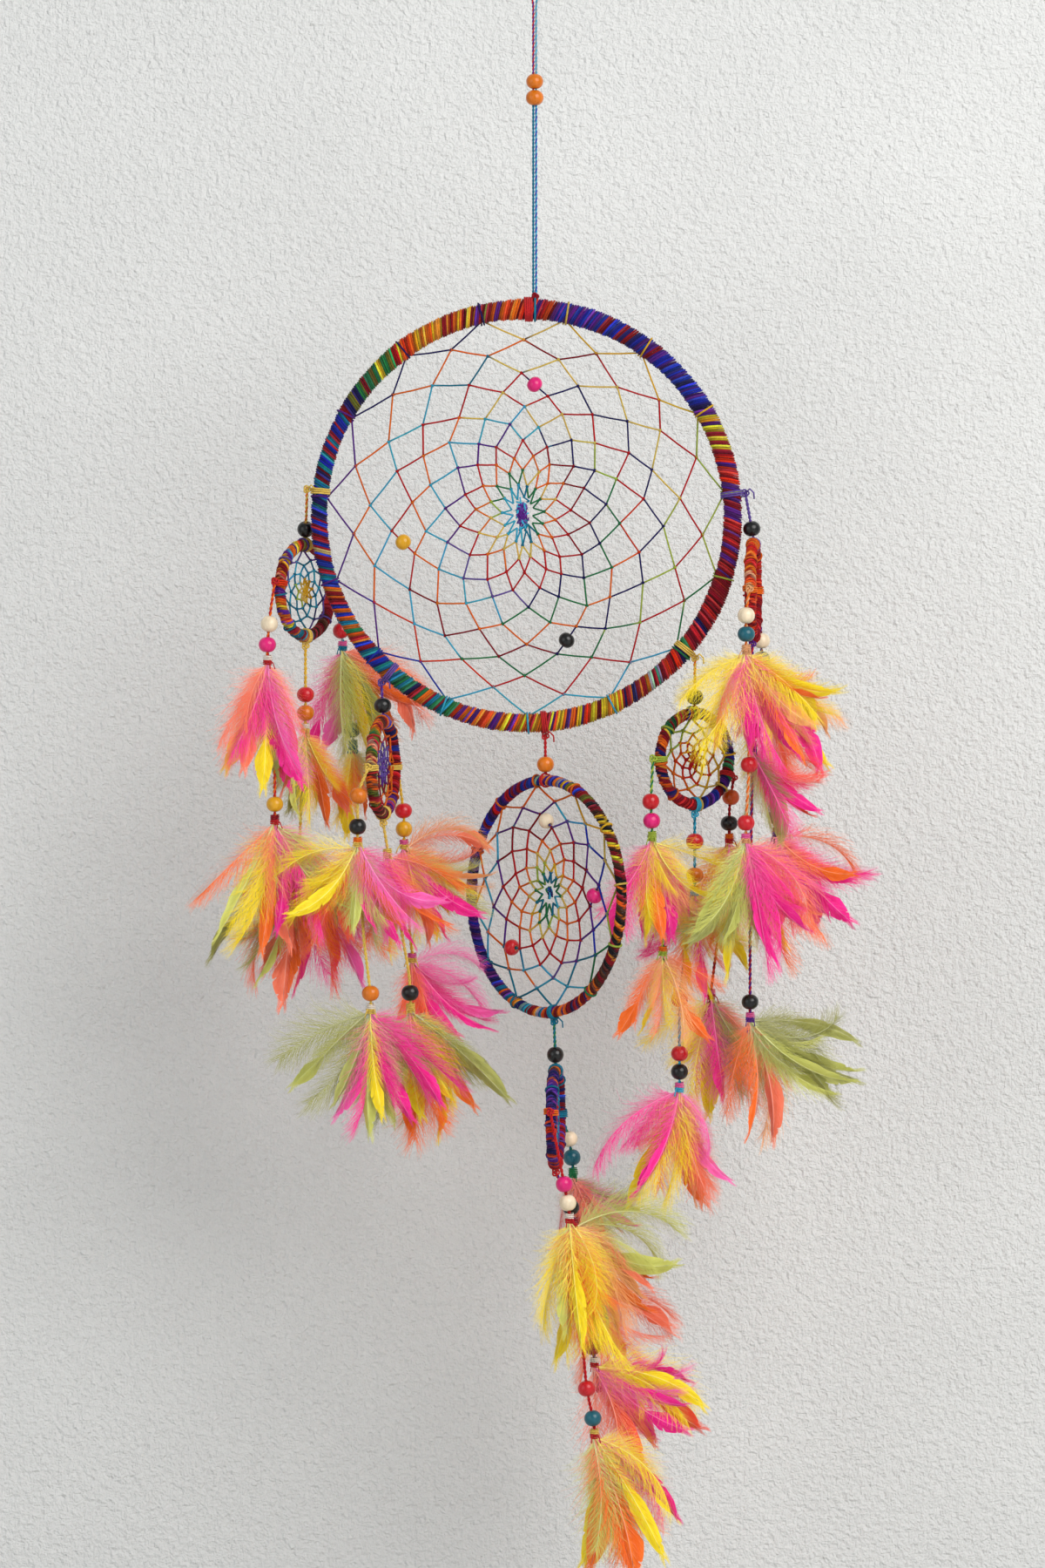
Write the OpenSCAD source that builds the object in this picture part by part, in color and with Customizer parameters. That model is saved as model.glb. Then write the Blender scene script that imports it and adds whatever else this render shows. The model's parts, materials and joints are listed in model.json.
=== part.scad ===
// Dream catcher hung from a nail: one large wool-wrapped hoop, a middle hoop below it, five small
// hoops, and three strands of beads and feathers on each small hoop.
// Millimetres, +Z up, the front looks along -Y. The origin is where the nail carries the hanging loop.

/* [Beads] */
// Diameter of a wooden bead on a strand, a drop or the hanging cord
bead_d = 8; // [6:0.5:8]
// Diameter of a bead threaded on a web
web_bead_d = 7.4; // [5:0.2:7.4]
// Radius of the hole through a bead
bore_r = 1.15; // [1.1:0.05:1.5]

/* [Large hoop] */
// Radius of the large hoop, to the middle of its wrapped tube
main_r = 95; // [94:0.5:95.5]
// Radius of the wool-wrapped tube of the large hoop
main_wrap_r = 4.5; // [3.5:0.1:4.6]
// Radius of the steel ring inside the large hoop
main_core_r = 2; // [1:0.1:2.5]
// Points where the large web is hitched to its hoop
main_points = 15; // [9:1:15]
// Rounds of the large web
main_rounds = 10; // [5:1:10]

/* [Middle hoop] */
// Radius of the middle hoop, to the middle of its wrapped tube
middle_r = 53.3; // [52:0.1:53.4]
// Radius of the wool-wrapped tube of the middle hoop
middle_wrap_r = 2.5; // [2:0.1:2.6]
// Radius of the steel ring inside the middle hoop
middle_core_r = 1.3; // [0.8:0.1:1.5]
// Turn of the middle hoop about the vertical, in degrees
middle_turn = -50; // [-55:1:-40]
// Points where the middle web is hitched to its hoop
middle_points = 12; // [8:1:12]
// Rounds of the middle web
middle_rounds = 7; // [4:1:7]

/* [Small hoops] */
// Radius of a small hoop, to the middle of its wrapped tube
small_r = 21; // [19:0.1:21]
// Radius of the wool-wrapped tube of a small hoop
small_wrap_r = 2.7; // [2:0.1:2.7]
// Radius of the steel ring inside a small hoop
small_core_r = 1.1; // [0.8:0.1:1.5]
// Points where a small web is hitched to its hoop
small_points = 8; // [5:1:8]
// Rounds of a small web
small_rounds = 4; // [3:1:4]

/* [Cords and threads] */
// Diameter of a strand's twisted cord
cord_d = 1.6; // [1:0.1:1.8]
// Diameter of the doubled hanging cord
hanging_d = 1.2; // [0.8:0.1:1.2]
// Thickness of the web threads
thread_d = 0.8; // [0.5:0.1:0.9]
// Thickness of a feather bunch
bunch_t = 3; // [2:0.5:3]

/* [Hidden] */
$fn = 48;
bead_r = bead_d / 2;
cord_r = cord_d / 2;
knot_r = 1.5;
knot_gap = 0.3;
bead_gap = 0.7;
core_gap = 0.05;
hitch_depth = 0.3;
slider_bore_r = 1.5;
binding_r = 1.7;
binding_h = 4;
tube_sides = 8;
cord_ring_step = 4.8;
web_start = 6.7;
web_taper = 1.25;
web_tail = 2.5;
bunch_lobes = 5;
lobe_steps = 4;
lobe_dip = 0.12;
bunch_shoulder = 0.72;
quill_inset = 0.2;
quill_overlap = 1;
tilt_reach = 3;
bead_hollow_r = bead_r + 0.3;

main_c = [-4, 0, -257];
middle_c = [5, 0, -431.6];
middle_hook = 275;

// Hanging cord, from the hoop up one side of the loop, over the nail and down: x and z
strand_gap = hanging_d / 2 + core_gap;
loop_side = [
    [strand_gap, -157], [strand_gap, -120], [strand_gap, -60], [strand_gap, -21],
    [1.4, -18.5], [3, -14], [4, -9], [3.6, -4.5], [2.2, -1], [0, hanging_d / 2]
];
slider_z = [-57.6, -66];

// Small hoops: name, centre, turn about the vertical, angle of its drop on the hoop above, wool colour
UNITS = [
    ["left_upper", [-105.6, 10, -290.8], 58, 173, "teal"],
    ["left_lower", [-69.6, 0, -372.4], 76, 229, "indigo"],
    ["right_upper", [100.4, 0, -291.2], 84, 6, "orangered"],
    ["right_lower", [73.6, 4, -368.4], 40, 320, "darkgreen"],
    ["bottom", [9.6, -4.5, -532.6], 84, 276, "darkblue"]
];

// Strands: small hoop, name, angle of its knot on the hoop, route of its cord (x and z from the knot),
// beads (z and colour), feather bunches (z, lean, spread, length and colour)
STRANDS = [
    [0, "outer", 172, [[0, 0], [-2, -14], [-3.5, -30], [-2, -60], [0, -80], [0, -114]],
        [[-19.5, "ivory"], [-29, "deeppink"], [-73.5, "deeppink"], [-102, "gold"]],
        [[-34, -14, 52, 54, "hotpink"], [-107, -8, 62, 56, "orange"]]],
    [0, "middle", 270, [[0, 0], [0, -34], [-2, -70], [-3, -104], [-2, -112]],
        [[-22.5, "crimson"], [-31, "darkorange"], [-96, "darkorange"]],
        [[-36, 10, 40, 38, "salmon"], [-101, 2, 54, 66, "orangered"]]],
    [0, "inner", 345, [[0, 0], [3, -12], [4, -20], [8, -58], [9, -68]],
        [[-11.5, "crimson"], [-57.5, "teal"]],
        [[-16.5, 38, 46, 52, "lightsalmon"], [-62.5, 0, 46, 40, "khaki"]]],
    [1, "outer", 180, [[0, 0], [-4, -9], [-5, -16], [-5, -38], [-2, -80], [1, -104], [1, -116]],
        [[-13, "darkorange"], [-27, "black"], [-103, "darkorange"]],
        [[-32, -6, 56, 52, "yellowgreen"], [-108, 4, 92, 66, "hotpink"]]],
    [1, "middle", 270, [[0, 0], [5, -30], [12, -70], [13, -92]],
        [[-78, "black"]],
        [[-12, 14, 44, 48, "salmon"], [-83, 22, 66, 66, "orange"]]],
    [1, "inner", 0, [[0, 0], [3, -22], [3, -40], [6, -80], [8, -96]],
        [[-20, "crimson"], [-28.5, "gold"]],
        [[-33.5, 26, 50, 46, "magenta"], [-86, 12, 50, 50, "deeppink"]]],
    [2, "front", 180, [[0, 0], [-1.4, -10], [-1.4, -40], [0, -80], [-1.6, -108], [-1.6, -120]],
        [[-12, "ivory"], [-20.5, "teal"], [-80, "crimson"], [-106.5, "crimson"]],
        [[-25.5, 24, 96, 58, "yellow"], [-111.5, 8, 74, 62, "yellowgreen"]]],
    [2, "middle", 255, [[0, 0], [0, -60], [-1, -120], [-1, -178]],
        [[-40, "crimson"], [-164, "black"]],
        [[-45, 30, 50, 44, "mediumvioletred"], [-169, 34, 70, 60, "yellowgreen"]]],
    [2, "back", 0, [[0, 0], [2, -22], [2, -36], [8, -90], [9, -104], [9, -116]],
        [[-22.5, "ivory"], [-31, "teal"], [-104, "olive"]],
        [[-36, 32, 46, 52, "gold"], [-109, 38, 56, 50, "hotpink"]]],
    [3, "inner", 180, [[0, 0], [-1, -20], [0, -40], [4, -80], [6, -100]],
        [[-19.6, "crimson"], [-28.4, "deeppink"]],
        [[-33.5, -2, 60, 54, "yellow"], [-86, 12, 44, 40, "salmon"]]],
    [3, "middle", 270, [[0, 0], [0, -34], [-4, -60], [-7, -84], [-7, -132]],
        [[-12.5, "crimson"], [-28, "darkorange"], [-85, "crimson"], [-110, "crimson"], [-118.4, "black"]],
        [[-33, 0, 50, 44, "gold"], [-123.5, 6, 62, 60, "orange"]]],
    [3, "outer", 340, [[0, 0], [-2, -14], [-2, -30], [-8, -80], [-12, -110]],
        [[-9, "peru"], [-21, "black"]],
        [[-26, 6, 56, 50, "hotpink"], [-98, -8, 50, 44, "salmon"]]],
    [4, "front", 172, [[0, 0], [6.6, -34], [8.5, -44], [12, -75], [16.6, -126], [20, -142], [21, -156]],
        [[-33, "deeppink"], [-41.5, "ivory"], [-126, "crimson"], [-139.5, "teal"]],
        [[-46.5, 6, 32, 66, "yellow"], [-144.5, 34, 52, 66, "orange"]]],
    [4, "middle", 270, [[0, 0], [6, -12], [8, -20], [14, -60], [17, -80], [20, -100]],
        [[-16, "black"], [-80, "firebrick"]],
        [[-21, 36, 44, 56, "palegreen"], [-85, 56, 60, 58, "hotpink"]]],
    [4, "back", 0, [[0, 0], [3.6, -11], [5, -20], [8, -50], [14, -90]],
        [[-11.5, "ivory"], [-20, "teal"]],
        [[-25, 24, 50, 40, "salmon"], [-78, 30, 44, 50, "orange"]]]
];

function flat(lists) = [for (l = lists) for (e = l) e];
function unit_of(s) = UNITS[s[0]];
function strand_name(s) = str(unit_of(s)[0], "_", s[1]);

// A point on a hoop that stands on edge: its centre, turn, radius and the angle up from its right side
function hoop_point(centre, turn, radius, angle) =
    centre + radius * [cos(angle) * cos(turn), cos(angle) * sin(turn), sin(angle)];

// Where a drop's knot hangs below its hoop, and the top of the hoop that the drop carries
function drop_knot(i) = i == 4
    ? hoop_point(middle_c, middle_turn, middle_r + middle_wrap_r + knot_gap + knot_r, UNITS[i][3])
    : hoop_point(main_c, 0, main_r + main_wrap_r + knot_gap + knot_r, UNITS[i][3]);
function top_of(centre, radius) = centre + [0, 0, radius + bead_gap];
function strand_knot(s) =
    hoop_point(unit_of(s)[1], unit_of(s)[2], small_r + small_wrap_r + knot_gap + knot_r, s[2]);

function x_at(s, z) = lookup(z, [for (p = s[3]) [p[1], p[0]]]);
function tilt_at(s, z) =
    atan2(x_at(s, z + tilt_reach) - x_at(s, z - tilt_reach), 2 * tilt_reach);
function end_z(s) = s[3][len(s[3]) - 1][1];

// Round the tube: each ring faces along the route, which lies in one plane across Y
function heading(points, i) =
    let (a = points[max(i - 1, 0)], b = points[min(i + 1, len(points) - 1)]) (b - a) / norm(b - a);
function tube_ring(points, i, radius) = let (t = heading(points, i), across = [t.z, 0, -t.x])
    [for (k = [0 : tube_sides - 1])
        let (a = 360 * k / tube_sides) points[i] + radius * (cos(a) * across + sin(a) * [0, 1, 0])];
module tube(points, radius) {
    last = len(points) - 1;
    polyhedron(
        points = flat([for (i = [0 : last]) tube_ring(points, i, radius)]),
        faces = concat(
            [[for (k = [0 : tube_sides - 1]) k]],
            [[for (k = [tube_sides - 1 : -1 : 0]) last * tube_sides + k]],
            [for (i = [0 : last - 1]) for (k = [0 : tube_sides - 1]) let (n = (k + 1) % tube_sides)
                [i * tube_sides + k, (i + 1) * tube_sides + k,
                 (i + 1) * tube_sides + n, i * tube_sides + n]]
        )
    );
}

// Splits each stretch of a route into steps no longer than the one given
function stretched(route, step) = concat(
    flat([for (i = [0 : len(route) - 2])
        let (n = ceil(norm(route[i + 1] - route[i]) / step))
        [for (k = [0 : n - 1]) route[i] + (route[i + 1] - route[i]) * k / n]]),
    [route[len(route) - 1]]
);

module ring_core(centre, turn, ring_r, core_r) {
    translate(centre) rotate([0, 0, turn]) rotate([90, 0, 0])
        rotate_extrude() translate([ring_r, 0]) circle(core_r);
}

module ring_wrap(centre, turn, ring_r, wrap_r, core_r) {
    translate(centre) rotate([0, 0, turn]) rotate([90, 0, 0])
        rotate_extrude() translate([ring_r, 0]) difference() {
            circle(wrap_r);
            circle(core_r + core_gap);
        }
}

// A web's crossings: round k, place j, with each round half a place on from the one outside it
function web_radius(radius, rounds, k) = radius * pow(1 - k / (rounds + web_tail), web_taper);
function crossing(radius, points, rounds, k, j) =
    let (a = web_start + 360 / points * (j + k / 2), r = web_radius(radius, rounds, k))
    r * [cos(a), sin(a)];
function shrunk(corners, inset) =
    let (m = (corners[0] + corners[1] + corners[2] + corners[3]) / 4,
         side = corners[1] - corners[0],
         away = abs(cross(m - corners[0], side)) / norm(side))
    [for (c = corners) m + (c - m) * (1 - inset / away)];
function mesh_hole(radius, points, rounds, k, j) = shrunk([
    crossing(radius, points, rounds, k, j + 1),
    crossing(radius, points, rounds, k + 1, j + 1),
    crossing(radius, points, rounds, k + 2, j),
    crossing(radius, points, rounds, k + 1, j)
], thread_d / 2);

// The net as one flat plate of thread: its zigzag rim, and a four-sided hole for each mesh of the net
module net(radius, points, rounds) {
    rim = flat([for (j = [0 : points - 1]) let (
        a = web_start + 360 / points * j,
        side = thread_d * [-sin(a), cos(a)],
        hitch = (radius + hitch_depth) * [cos(a), sin(a)],
        dip = crossing(radius, points, rounds, 1, j))
        [hitch - side, hitch + side, dip * (1 + thread_d / 2 / norm(dip))]]);
    holes = flat([for (k = [0 : rounds - 2]) for (j = [0 : points - 1])
        [mesh_hole(radius, points, rounds, k, j)]]);
    hole_corners = flat(holes);
    linear_extrude(thread_d, center = true)
        polygon(
            points = concat(rim, hole_corners),
            paths = concat(
                [[for (i = [0 : len(rim) - 1]) i]],
                [for (h = [0 : len(holes) - 1]) [for (c = [0 : 3]) len(rim) + 4 * h + c]]
            )
        );
}
module web(centre, turn, radius, points, rounds) {
    translate(centre) rotate([0, 0, turn]) rotate([90, 0, 0]) net(radius, points, rounds);
}

// A bead with its hole along its own Z
module bead(d, hole_r) {
    difference() {
        sphere(d = d);
        cylinder(h = 2 * d, r = hole_r, center = true);
    }
}

// A bead threaded half way along the thread from one crossing to the next round's
module web_bead(centre, turn, radius, points, rounds, k, j, back, colour) {
    a = crossing(radius, points, rounds, k, j + back);
    b = crossing(radius, points, rounds, k + 1, j);
    color(colour)
        translate(centre) rotate([0, 0, turn]) rotate([90, 0, 0])
            translate([(a.x + b.x) / 2, (a.y + b.y) / 2, 0])
                rotate([0, 90, atan2(b.y - a.y, b.x - a.x)]) bead(web_bead_d, bore_r);
}

// A knot, the short cord below it and the bead threaded on that cord
module drop(knot, foot, cord_colour, bead_colour) {
    way = knot - foot;
    reach = norm(way);
    translate(foot) rotate([0, acos(way.z / reach), atan2(way.y, way.x)]) {
        color(cord_colour) cylinder(h = reach, r = cord_r);
        color(cord_colour) translate([0, 0, reach]) sphere(knot_r);
        color(bead_colour) translate([0, 0, bead_r]) bead(bead_d, bore_r);
    }
}

module strand_cord(s) {
    color("slateblue")
        tube(stretched([for (p = s[3]) strand_knot(s) + [p[0], 0, p[1]]], cord_ring_step), cord_r);
}

// A bunch of feathers as a flat fan with a scalloped edge, hung from its binding
function bunch_edge(lean, spread, length) =
    let (steps = bunch_lobes * lobe_steps)
    [for (i = [0 : steps]) let (
        across = 2 * i / steps - 1,
        a = lean + across * spread / 2,
        r = length * (bunch_shoulder + (1 - bunch_shoulder) * cos(90 * across))
            * (1 - lobe_dip * abs(cos(180 * i / lobe_steps))))
        [r * sin(a), -binding_h - r * cos(a)]];
module bunch(lean, spread, length) {
    quills = [
        [binding_r - quill_inset, quill_overlap - binding_h],
        [quill_inset - binding_r, quill_overlap - binding_h]
    ];
    edge = [for (p = bunch_edge(-lean, spread, length)) [-p.x, p.y]];
    rotate([90, 0, 0])
        linear_extrude(bunch_t, center = true)
            polygon(concat([quills[0]], edge, [quills[1]]));
    translate([0, 0, -binding_h]) cylinder(h = binding_h, r = binding_r);
}
module strand_trim(s) {
    for (b = s[4])
        color(b[1])
            translate(strand_knot(s) + [x_at(s, b[0]), 0, b[0]])
                rotate([0, tilt_at(s, b[0]), 0]) bead(bead_d, bore_r);
    for (f = s[5])
        color(f[4])
            difference() {
                translate(strand_knot(s) + [x_at(s, f[0]), 0, f[0]]) bunch(f[1], f[2], f[3]);
                for (b = s[4])
                    if (b[0] < f[0])
                        translate(strand_knot(s) + [x_at(s, b[0]), 0, b[0]]) sphere(bead_hollow_r);
            }
}

module hanging_cord() {
    right = [for (p = loop_side) [p[0], 0, p[1]]];
    left = [for (i = [len(loop_side) - 2 : -1 : 0]) [-loop_side[i][0], 0, loop_side[i][1]]];
    color("steelblue") tube(stretched(concat(right, left), cord_ring_step), hanging_d / 2);
}
module slider_beads() {
    for (z = slider_z)
        color("darkorange") translate([0, 0, z]) bead(bead_d, slider_bore_r);
}
module main_hoop_core() {
    color("silver") ring_core(main_c, 0, main_r, main_core_r);
}
module main_hoop_wrap() {
    color("firebrick") ring_wrap(main_c, 0, main_r, main_wrap_r, main_core_r);
}
module main_web() {
    color("orange") web(main_c, 0, main_r - main_wrap_r, main_points, main_rounds);
}
module main_web_bead(k, j, back, colour) {
    web_bead(main_c, 0, main_r - main_wrap_r, main_points, main_rounds, k, j, back, colour);
}
module main_web_beads() {
    main_web_bead(3, 1, 1, "deeppink");
    main_web_bead(3, 6, 0, "gold");
    main_web_bead(3, 10, 0, "black");
}
module centre_drop() {
    knot = hoop_point(main_c, 0, main_r + main_wrap_r + knot_gap + knot_r, middle_hook);
    drop(knot, top_of(middle_c, middle_r + middle_wrap_r), "crimson", "darkorange");
}
module middle_hoop_core() {
    color("silver") ring_core(middle_c, middle_turn, middle_r, middle_core_r);
}
module middle_hoop_wrap() {
    color("indigo") ring_wrap(middle_c, middle_turn, middle_r, middle_wrap_r, middle_core_r);
}
module middle_web_bead(k, j, back, colour) {
    web_bead(middle_c, middle_turn, middle_r - middle_wrap_r,
        middle_points, middle_rounds, k, j, back, colour);
}
module middle_web() {
    color("orangered") web(middle_c, middle_turn, middle_r - middle_wrap_r, middle_points, middle_rounds);
    middle_web_bead(2, 1, 1, "ivory");
    middle_web_bead(2, 10, 1, "deeppink");
    middle_web_bead(2, 6, 0, "crimson");
}
module small_drop(i) {
    drop(drop_knot(i), top_of(UNITS[i][1], small_r + small_wrap_r), "darkorchid", "black");
}
module small_core(u) {
    color("silver") ring_core(u[1], u[2], small_r, small_core_r);
}
module small_wrap(u) {
    color(u[4]) ring_wrap(u[1], u[2], small_r, small_wrap_r, small_core_r);
}
module small_web(u) {
    color("turquoise") web(u[1], u[2], small_r - small_wrap_r, small_points, small_rounds);
}

hanging_cord();
slider_beads();
main_hoop_core();
main_hoop_wrap();
main_web();
main_web_beads();
centre_drop();
middle_hoop_core();
middle_hoop_wrap();
middle_web();
for (i = [0 : len(UNITS) - 1]) {
    small_drop(i);
    small_core(UNITS[i]);
    small_wrap(UNITS[i]);
    small_web(UNITS[i]);
}
for (s = STRANDS) {
    strand_cord(s);
    strand_trim(s);
}
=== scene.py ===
import json
import math
import random

import bmesh
import bpy
import numpy as np
from mathutils import Matrix, Vector


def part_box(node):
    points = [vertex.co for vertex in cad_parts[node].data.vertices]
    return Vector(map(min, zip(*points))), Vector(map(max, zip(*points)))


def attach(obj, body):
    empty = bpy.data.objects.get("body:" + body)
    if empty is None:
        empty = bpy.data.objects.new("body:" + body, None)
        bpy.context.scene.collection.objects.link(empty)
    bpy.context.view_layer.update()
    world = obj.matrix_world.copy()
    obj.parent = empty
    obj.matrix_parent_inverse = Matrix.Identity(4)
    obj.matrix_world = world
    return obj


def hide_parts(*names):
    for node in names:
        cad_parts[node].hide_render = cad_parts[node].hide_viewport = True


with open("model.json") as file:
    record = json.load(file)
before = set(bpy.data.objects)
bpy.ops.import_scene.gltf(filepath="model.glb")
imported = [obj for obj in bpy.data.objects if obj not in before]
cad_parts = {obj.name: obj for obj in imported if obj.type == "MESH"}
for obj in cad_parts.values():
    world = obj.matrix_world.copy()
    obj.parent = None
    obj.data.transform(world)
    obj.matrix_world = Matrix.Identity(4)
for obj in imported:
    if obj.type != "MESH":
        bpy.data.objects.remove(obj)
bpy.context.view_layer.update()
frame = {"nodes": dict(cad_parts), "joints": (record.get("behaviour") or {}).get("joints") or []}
pivots = {j["name"]: Vector(j["pos_m"]) for j in frame["joints"] if j.get("pos_m")}
world = bpy.context.scene
mm = 0.001

# camera, straight in front of the middle of the hanging
cameraLook = {"place": (-0.0056, -3.2, -0.380), "lens": 160, "film": 36}
cameraData = bpy.data.cameras.new("camera")
cameraData.lens = cameraLook["lens"]
cameraData.sensor_width = cameraLook["film"]
cameraData.dof.use_dof = False
camera = bpy.data.objects.new("camera", cameraData)
camera.location = cameraLook["place"]
camera.rotation_euler = (math.pi / 2, 0, 0)
world.collection.objects.link(camera)
bpy.context.scene.camera = camera
world.view_settings.view_transform = "Standard"


def dye(r, g, b):  # a dye given as screen colours, 0 to 255
    return tuple((c / 255 / 12.92) if c < 10.31 else ((c / 255 + 0.055) / 1.055) ** 2.4 for c in (r, g, b))


class Wire:  # one value or colour in a material, so that sums on it add Math nodes
    def __init__(self, bench, socket):
        self.bench, self.socket = bench, socket

    def __add__(self, other):
        return self.bench.sum("ADD", self, other)

    def __radd__(self, other):
        return self.bench.sum("ADD", other, self)

    def __sub__(self, other):
        return self.bench.sum("SUBTRACT", self, other)

    def __rsub__(self, other):
        return self.bench.sum("SUBTRACT", other, self)

    def __mul__(self, other):
        return self.bench.sum("MULTIPLY", self, other)

    def __rmul__(self, other):
        return self.bench.sum("MULTIPLY", other, self)


class Bench:  # the nodes of one material
    def __init__(self, name, **constants):
        self.material = bpy.data.materials.new(name)
        self.material.use_nodes = True
        self.tree = self.material.node_tree
        self.shader = self.tree.nodes["Principled BSDF"]
        for socket, value in constants.items():
            self.shader.inputs[socket.replace("_", " ")].default_value = value

    def add(self, kind, settings=None, inputs=None, out=0):
        node = self.tree.nodes.new("ShaderNode" + kind)
        for key, value in (settings or {}).items():
            setattr(node, key, value)
        for key, value in (inputs or {}).items():
            if isinstance(value, Wire):
                self.tree.links.new(value.socket, node.inputs[key])
            else:
                node.inputs[key].default_value = value
        return Wire(self, node.outputs[out])

    def sum(self, operation, a, b):
        return self.add("Math", {"operation": operation}, {0: a, 1: b})

    def mix(self, share, a, b, blend="MIX"):
        a, b = ((*c, 1) if isinstance(c, tuple) else c for c in (a, b))
        return self.add("Mix", {"data_type": "RGBA", "blend_type": blend}, {0: share, 6: a, 7: b}, 2)

    def spots(self, scale, detail=2, rough=0.5, stretch=(1, 1, 1)):
        place = self.add("TexCoord", out=3)
        if stretch != (1, 1, 1):
            place = self.add("Mapping", inputs={"Vector": place, "Scale": stretch})
        return self.add("TexNoise", inputs={"Vector": place, "Scale": scale, "Detail": detail,
            "Roughness": rough})

    def own(self, name, out=2):
        return self.add("Attribute", {"attribute_name": name}, out=out)

    def remap(self, value, low, high, to=(0, 1)):
        return self.add("MapRange", inputs={0: value, 1: low, 2: high, 3: to[0], 4: to[1]})

    def feed(self, **links):
        for socket, wire in links.items():
            self.tree.links.new(wire.socket, self.shader.inputs[socket.replace("_", " ")])
        return self.material

    def bump(self, height, strength, distance):
        return self.add("Bump", inputs={"Height": height, "Strength": strength, "Distance": distance})


dyes = {
    "maroon": dye(142, 16, 34), "red": dye(196, 22, 30), "vermilion": dye(226, 58, 20),
    "orange": dye(240, 112, 26), "yellow": dye(240, 186, 40), "olive": dye(112, 112, 40),
    "green": dye(40, 124, 76), "teal": dye(24, 120, 150), "sky": dye(60, 176, 212),
    "blue": dye(30, 50, 176), "navy": dye(32, 28, 96), "purple": dye(92, 36, 136),
    "violet": dye(104, 80, 160), "peach": dye(232, 170, 120), "brown": dye(84, 44, 30),
    "grey": dye(150, 160, 170), "lime": dye(170, 190, 70), "crimson": dye(196, 40, 44),
    "amber": dye(232, 196, 92), "white": dye(236, 226, 214), "pink": dye(232, 96, 160),
    "black": dye(26, 24, 28),
}


def dyed(name, shade=1.0):
    return tuple(c * shade for c in dyes[name])


def addPiece(name, mesh, body, *materials, slot=None):
    piece = bpy.data.objects.new(name, mesh)
    world.collection.objects.link(piece)
    for material in materials:
        mesh.materials.append(material)
    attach(piece, body)
    return piece


# yarns, threads and cords: each run is a line of points with a tint at every point
def yarnMesh(name, runs, thickness, sides=6):
    curve = bpy.data.curves.new(name, "CURVE")
    curve.dimensions = "3D"
    curve.bevel_depth = thickness / 2
    curve.bevel_resolution = sides // 2 - 2
    tints = []
    for run in runs:
        points = np.asarray(run["points"], float)
        spline = curve.splines.new("POLY")
        spline.points.add(len(points) - 1)
        spline.points.foreach_set("co", np.c_[points, np.ones(len(points))].ravel())
        spline.points.foreach_set("radius",
            np.broadcast_to(run.get("radius", 1.0), len(points)).astype(float).copy())
        spline.use_cyclic_u = run.get("closed", False)
        tints.append(np.repeat(np.broadcast_to(np.asarray(run["tint"], float), (len(points), 3)), sides,
            axis=0))
    maker = bpy.data.objects.new(name, curve)
    world.collection.objects.link(maker)
    bpy.context.view_layer.update()
    mesh = bpy.data.meshes.new_from_object(maker)
    bpy.data.objects.remove(maker)
    bpy.data.curves.remove(curve)
    tints = np.concatenate(tints)
    layer = mesh.color_attributes.new("tint", "FLOAT_COLOR", "POINT")
    layer.data.foreach_set("color", np.c_[tints, np.ones(len(tints))].astype(np.float32).ravel())
    closed = bmesh.new()
    closed.from_mesh(mesh)
    bmesh.ops.holes_fill(closed, edges=[e for e in closed.edges if e.is_boundary], sides=sides)
    bmesh.ops.recalc_face_normals(closed, faces=closed.faces)
    for face in closed.faces:
        face.smooth = len(face.verts) <= 4
    closed.to_mesh(mesh)
    closed.free()
    mesh.name = name
    return mesh


def addCord(name, runs, thick, body, material=None, slot="cord"):  # thick is in millimetres
    return addPiece(name, yarnMesh(name, runs, thick * mm), body, material or twine, slot=slot)


plyLook = {"plies": 2, "pointsPerTwist": 9}


def plyRuns(path, thickness, lay, tints):
    # the plies of a twisted cord: lay is the length of one full twist
    plies = plyLook["plies"]
    path = np.asarray(path, float)
    steps = np.r_[0, np.cumsum(np.linalg.norm(np.diff(path, axis=0), axis=1))]
    count = max(8, int(steps[-1] / lay * plyLook["pointsPerTwist"]))
    at = np.linspace(0, steps[-1], count)
    line = np.c_[[np.interp(at, steps, path[:, k]) for k in range(3)]].T
    ahead = np.gradient(line, axis=0)
    ahead /= np.linalg.norm(ahead, axis=1)[:, None]
    side = np.cross(ahead, (0.0, 1.0, 0.02))
    side /= np.linalg.norm(side, axis=1)[:, None]
    other = np.cross(ahead, side)
    plyRadius = thickness / 2 / plies
    runs = []
    for k in range(plies):
        turn = 2 * math.pi * (at / lay + k / plies)
        points = line + (np.cos(turn)[:, None] * side + np.sin(turn)[:, None] * other) * plyRadius
        runs.append({"points": points, "tint": tints[k % len(tints)]})
    return runs


def woolMaterial(name, fibre, strength):
    bench = Bench(name, Roughness=0.9, Sheen_Weight=0.06, Sheen_Roughness=0.5, Specular_IOR_Level=0.12)
    hairs = bench.spots(fibre, 3, 0.7)
    blotches = bench.spots(fibre / 6, 2, 0.5)
    light = bench.remap(hairs, 0.3, 0.7, (0.55, 1.2)) * bench.remap(blotches, 0.3, 0.7, (0.84, 1.08))
    grey = bench.add("CombineColor", inputs={0: light, 1: light, 2: light})
    colour = bench.mix(1.0, bench.own("tint", 0), grey, "MULTIPLY")
    return bench.feed(
        Base_Color=colour,
        Roughness=bench.remap(hairs, 0.3, 0.7, (0.8, 0.98)),
        Normal=bench.bump(hairs, strength, 0.0004),
    )


wool = woolMaterial("wound_wool", 2600, 0.7)
thread = woolMaterial("waxed_thread", 3200, 0.4)
twine = woolMaterial("twisted_cord", 3000, 0.5)


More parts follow.
